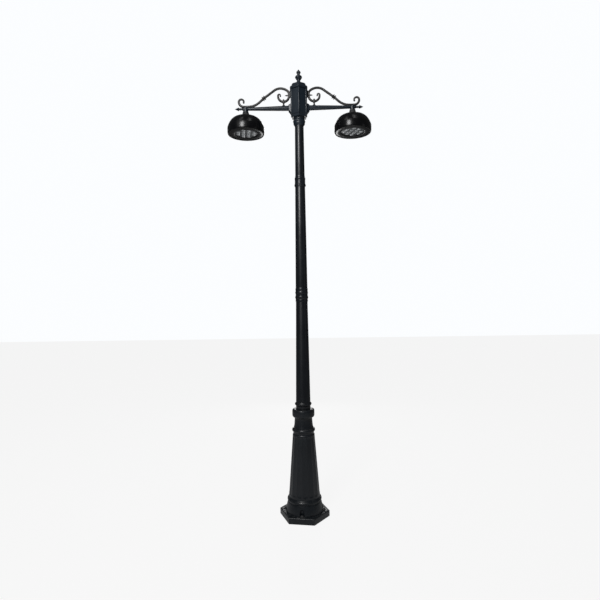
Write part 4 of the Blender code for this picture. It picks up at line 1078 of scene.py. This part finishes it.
plastic = Finish("moulded_grey_plastic")
patches = plastic.noise(0.03, 4)
settled = plastic.ease(plastic.upward(), 0.5, 0.95)
plastic_colour = plastic.mix(patches, (0.30, 0.31, 0.32, 1), (0.37, 0.38, 0.39, 1))
plastic.feeds("Base Color", plastic.mix(settled * 0.25, plastic_colour, (0.45, 0.42, 0.38, 1)))
plastic.feeds("Roughness", patches * 0.12 + settled * 0.2 + 0.42)
plastic.bump((plastic.noise(0.0006, 1), 0.00006), (plastic.noise(0.02, 2), 0.0002))

sheath = Finish("cable_sheath")
sheath.feeds("Base Color", sheath.mix(sheath.noise(0.01, 3), (0.012, 0.012, 0.012, 1),
    (0.024, 0.023, 0.022, 1)))
sheath.feeds("Roughness", sheath.noise(0.004, 2) * 0.15 + 0.45)
sheath.bump((sheath.noise(0.0025, 2, (1, 1, 0.2)), 0.0002))

LENS_VIEW = 78
LENS_SEAT = 2575
LED_PITCH = 35
LENS_RADIUS = 13.2
BOARD_BOTTOM = 2601.4
LEFT_LAMP_TURN = 8
RIGHT_LAMP_TURN = 22
STEPS = (-1.5, -0.5, 0.5, 1.5)
LIGHTS = [(LED_PITCH * i, LED_PITCH * j) for i in STEPS for j in STEPS if abs(i * j) < 2]


def comb():
    """Stands a row of straight fins on a plate: blocks at the points of a line."""
    graph, size = geometry_tree("comb", Fins=9, Pitch=0.016, Length=0.2, Height=0.034, Thickness=0.003,
        Base=2.61)
    back = (size["Fins"] - 1) * size["Pitch"] * -0.5
    level = size["Height"] * 0.5 + size["Base"]
    start = graph.node("ShaderNodeCombineXYZ", {}, {"X": back, "Z": level})
    step = graph.node("ShaderNodeCombineXYZ", {}, {"X": size["Pitch"]})
    row = graph.node("GeometryNodeMeshLine", {},
        {"Count": size["Fins"], "Start Location": start, "Offset": step})
    shape = graph.node("ShaderNodeCombineXYZ", {},
        {"X": size["Thickness"], "Y": size["Length"], "Z": size["Height"]})
    fin = graph.node("GeometryNodeMeshCube", {}, {"Size": shape})
    fins = graph.node("GeometryNodeInstanceOnPoints", {}, {"Points": row, "Instance": fin})
    tree_ends(graph, fins, size["Material"])
    return graph


FIN_COMB = comb()

for side_name, side, turn in (("left", -1, LEFT_LAMP_TURN), ("right", 1, RIGHT_LAMP_TURN)):
    lamp = "lamp_" + side_name
    hang = at(side * LAMP_X, 0, 0, turn)
    shell = [(119, 2568), (120.4, 2567.9), (121.8, 2569.6), (123.6, 2576), (124, 2581), (124, 2611),
        (119.6, 2624)]
    shell += [(113.6, 2637.4), (107, 2649), (99.4, 2659), (91, 2667), (81, 2674), (69, 2679.6), (56, 2683),
        (40, 2684.8)]
    shell += [(12.6, 2685.4), (12.6, 2681.6), (40, 2681), (55, 2679.4), (67, 2676), (78.4, 2670.6),
        (88, 2664), (96, 2656)]
    shell += [(117, 2612), (115.6, 2580), (115, 2568.6), (116, 2568)]
    dome = turned(f"lamp_housing_{side_name}_piece", eased(shell, 2.2, 6), gloss, 160, tube=True, place=hang)
    fitted(dome, lamp, "gloss_black", f"lamp_housing_{side_name}")

    stem_line = [(6, 2676), (11.4, 2676), (12, 2676.6), (12, 2704.5), (13, 2705.8), (19.5, 2708),
        (21.4, 2709.4), (22, 2711)]
    stem_line += [(21.5, 2713), (19.4, 2714.8), (17, 2716.4), (16.2, 2718), (16, 2719.5), (9.8, 2719.5),
        (9.8, 2733), (6, 2733)]
    stem = turned(f"lamp_stem_{side_name}_piece", stem_line, head_paint, 64, tube=True, place=hang)
    fitted(stem, lamp, "cast_paint", f"lamp_stem_{side_name}")

    crown_line = [(12.6, 2685.7), (36, 2685.3), (37.4, 2686), (37.6, 2687.6), (36.6, 2689.8), (33.4, 2692.8),
        (29, 2696)]
    crown_line += [(25.6, 2700), (22.8, 2705), (20.8, 2710.4), (19.9, 2715), (19.6, 2719.4), (12.6, 2719.4)]
    crown = turned(f"crown_plate_{side_name}_piece", crown_line, forged, 96, tube=True, place=hang)
    fitted(crown, lamp, "forged_paint", f"crown_plate_{side_name}")

    ring_line = [(LENS_VIEW, 2571.6), (LENS_VIEW + 0.6, 2570.6), (LENS_VIEW + 2.2, 2570), (110.8, 2570),
        (112.4, 2570.6)]
    ring_line += [(113.2, 2572), (113.2, 2590), (88, 2590), (88, LENS_SEAT), (LENS_VIEW, LENS_SEAT)]
    bezel = turned(f"bezel_ring_{side_name}_piece", ring_line, gloss, 128, tube=True, place=hang)
    fitted(bezel, lamp, "gloss_black", f"bezel_ring_{side_name}")

    low = LENS_SEAT + GAP
    plate_line = [(0, low), (84, low), (85.8, low + 0.4), (86.4, low + 1.2), (86.4, low + 4), (0, low + 4)]
    plate = turned(f"lens_plate_{side_name}_piece", plate_line, frosted, 96, place=hang)
    fitted(plate, lamp, "clear_lens", f"lens_plate_{side_name}")
    bulge = [(0, low - 0.05), (LENS_RADIUS, low - 0.05), (LENS_RADIUS, low - 0.7)]
    bulge += arc(0, low - 0.7, LENS_RADIUS - 0.6, 5.2, 0, -90, 10)
    lens = turned("lens", bulge, clear, 32)
    lenses = sown(f"lenses_{side_name}", lens, [(x, y, 0) for x, y in LIGHTS], clear, 0.0, in_metres(hang))
    fitted(lenses, lamp, "clear_lens")

    disc = [(0, BOARD_BOTTOM), (79.6, BOARD_BOTTOM), (80, BOARD_BOTTOM + 0.4), (80, BOARD_BOTTOM + 2.2),
        (0, BOARD_BOTTOM + 2.2)]
    board = turned(f"led_board_{side_name}_piece", disc, board_mask, 96, place=hang)
    fitted(board, lamp, "board_white", f"led_board_{side_name}")
    chip = block("chip", (6, 6, 2.3), (0, 0, BOARD_BOTTOM - 1.2), plastic)
    shaped(chip, bevel=0.4)
    chips = sown(f"led_chips_{side_name}", chip, [(x, y, 0) for x, y in LIGHTS], plastic, 0.0,
        in_metres(hang))
    fitted(chips, lamp, "board_white")

    sink = turned("sink", [(0, 2604), (81.4, 2604), (82, 2604.6), (82, 2610), (0, 2610)], aluminium, 96)
    fins = bpy.data.objects.new("fins", bpy.data.meshes.new("fins"))
    scene.collection.objects.link(fins)
    grown(fins, FIN_COMB, aluminium, Fins=9, Length=0.20, Height=0.0345, Base=2.6095)
    around = rod("around", 82, 2590, 2660, aluminium, 96)
    within = fins.modifiers.new("within", "BOOLEAN")
    within.operation, within.solver, within.object = "INTERSECT", "MANIFOLD", around
    plain_mesh(fins)
    bpy.data.objects.remove(around, do_unlink=True)
    shaped(sink, fillers=[fins])
    sink.data.transform(in_metres(hang))
    sink.name = f"heat_sink_{side_name}_piece"
    fitted(sink, lamp, "bare_aluminium", f"heat_sink_{side_name}")


# ---------------------------------------------------------------- the wiring and the plain parts inside
# The terminal box, its strap, the cable connector, the drivers and the cables are hidden in use. They keep
# their own plain shapes, and take the finishes of zinc plate, moulded plastic and black cable sheath.

for node_name, inner_finish in (
    ("gear_strap", zinc), ("terminal_box", plastic), ("cable_connector", plastic),
    ("led_driver_left", plastic), ("led_driver_right", plastic),
    ("riser_cable", sheath), ("arm_cable_left", sheath), ("arm_cable_right", sheath),
):
    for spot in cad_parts[node_name].material_slots:
        spot.material = inner_finish.material
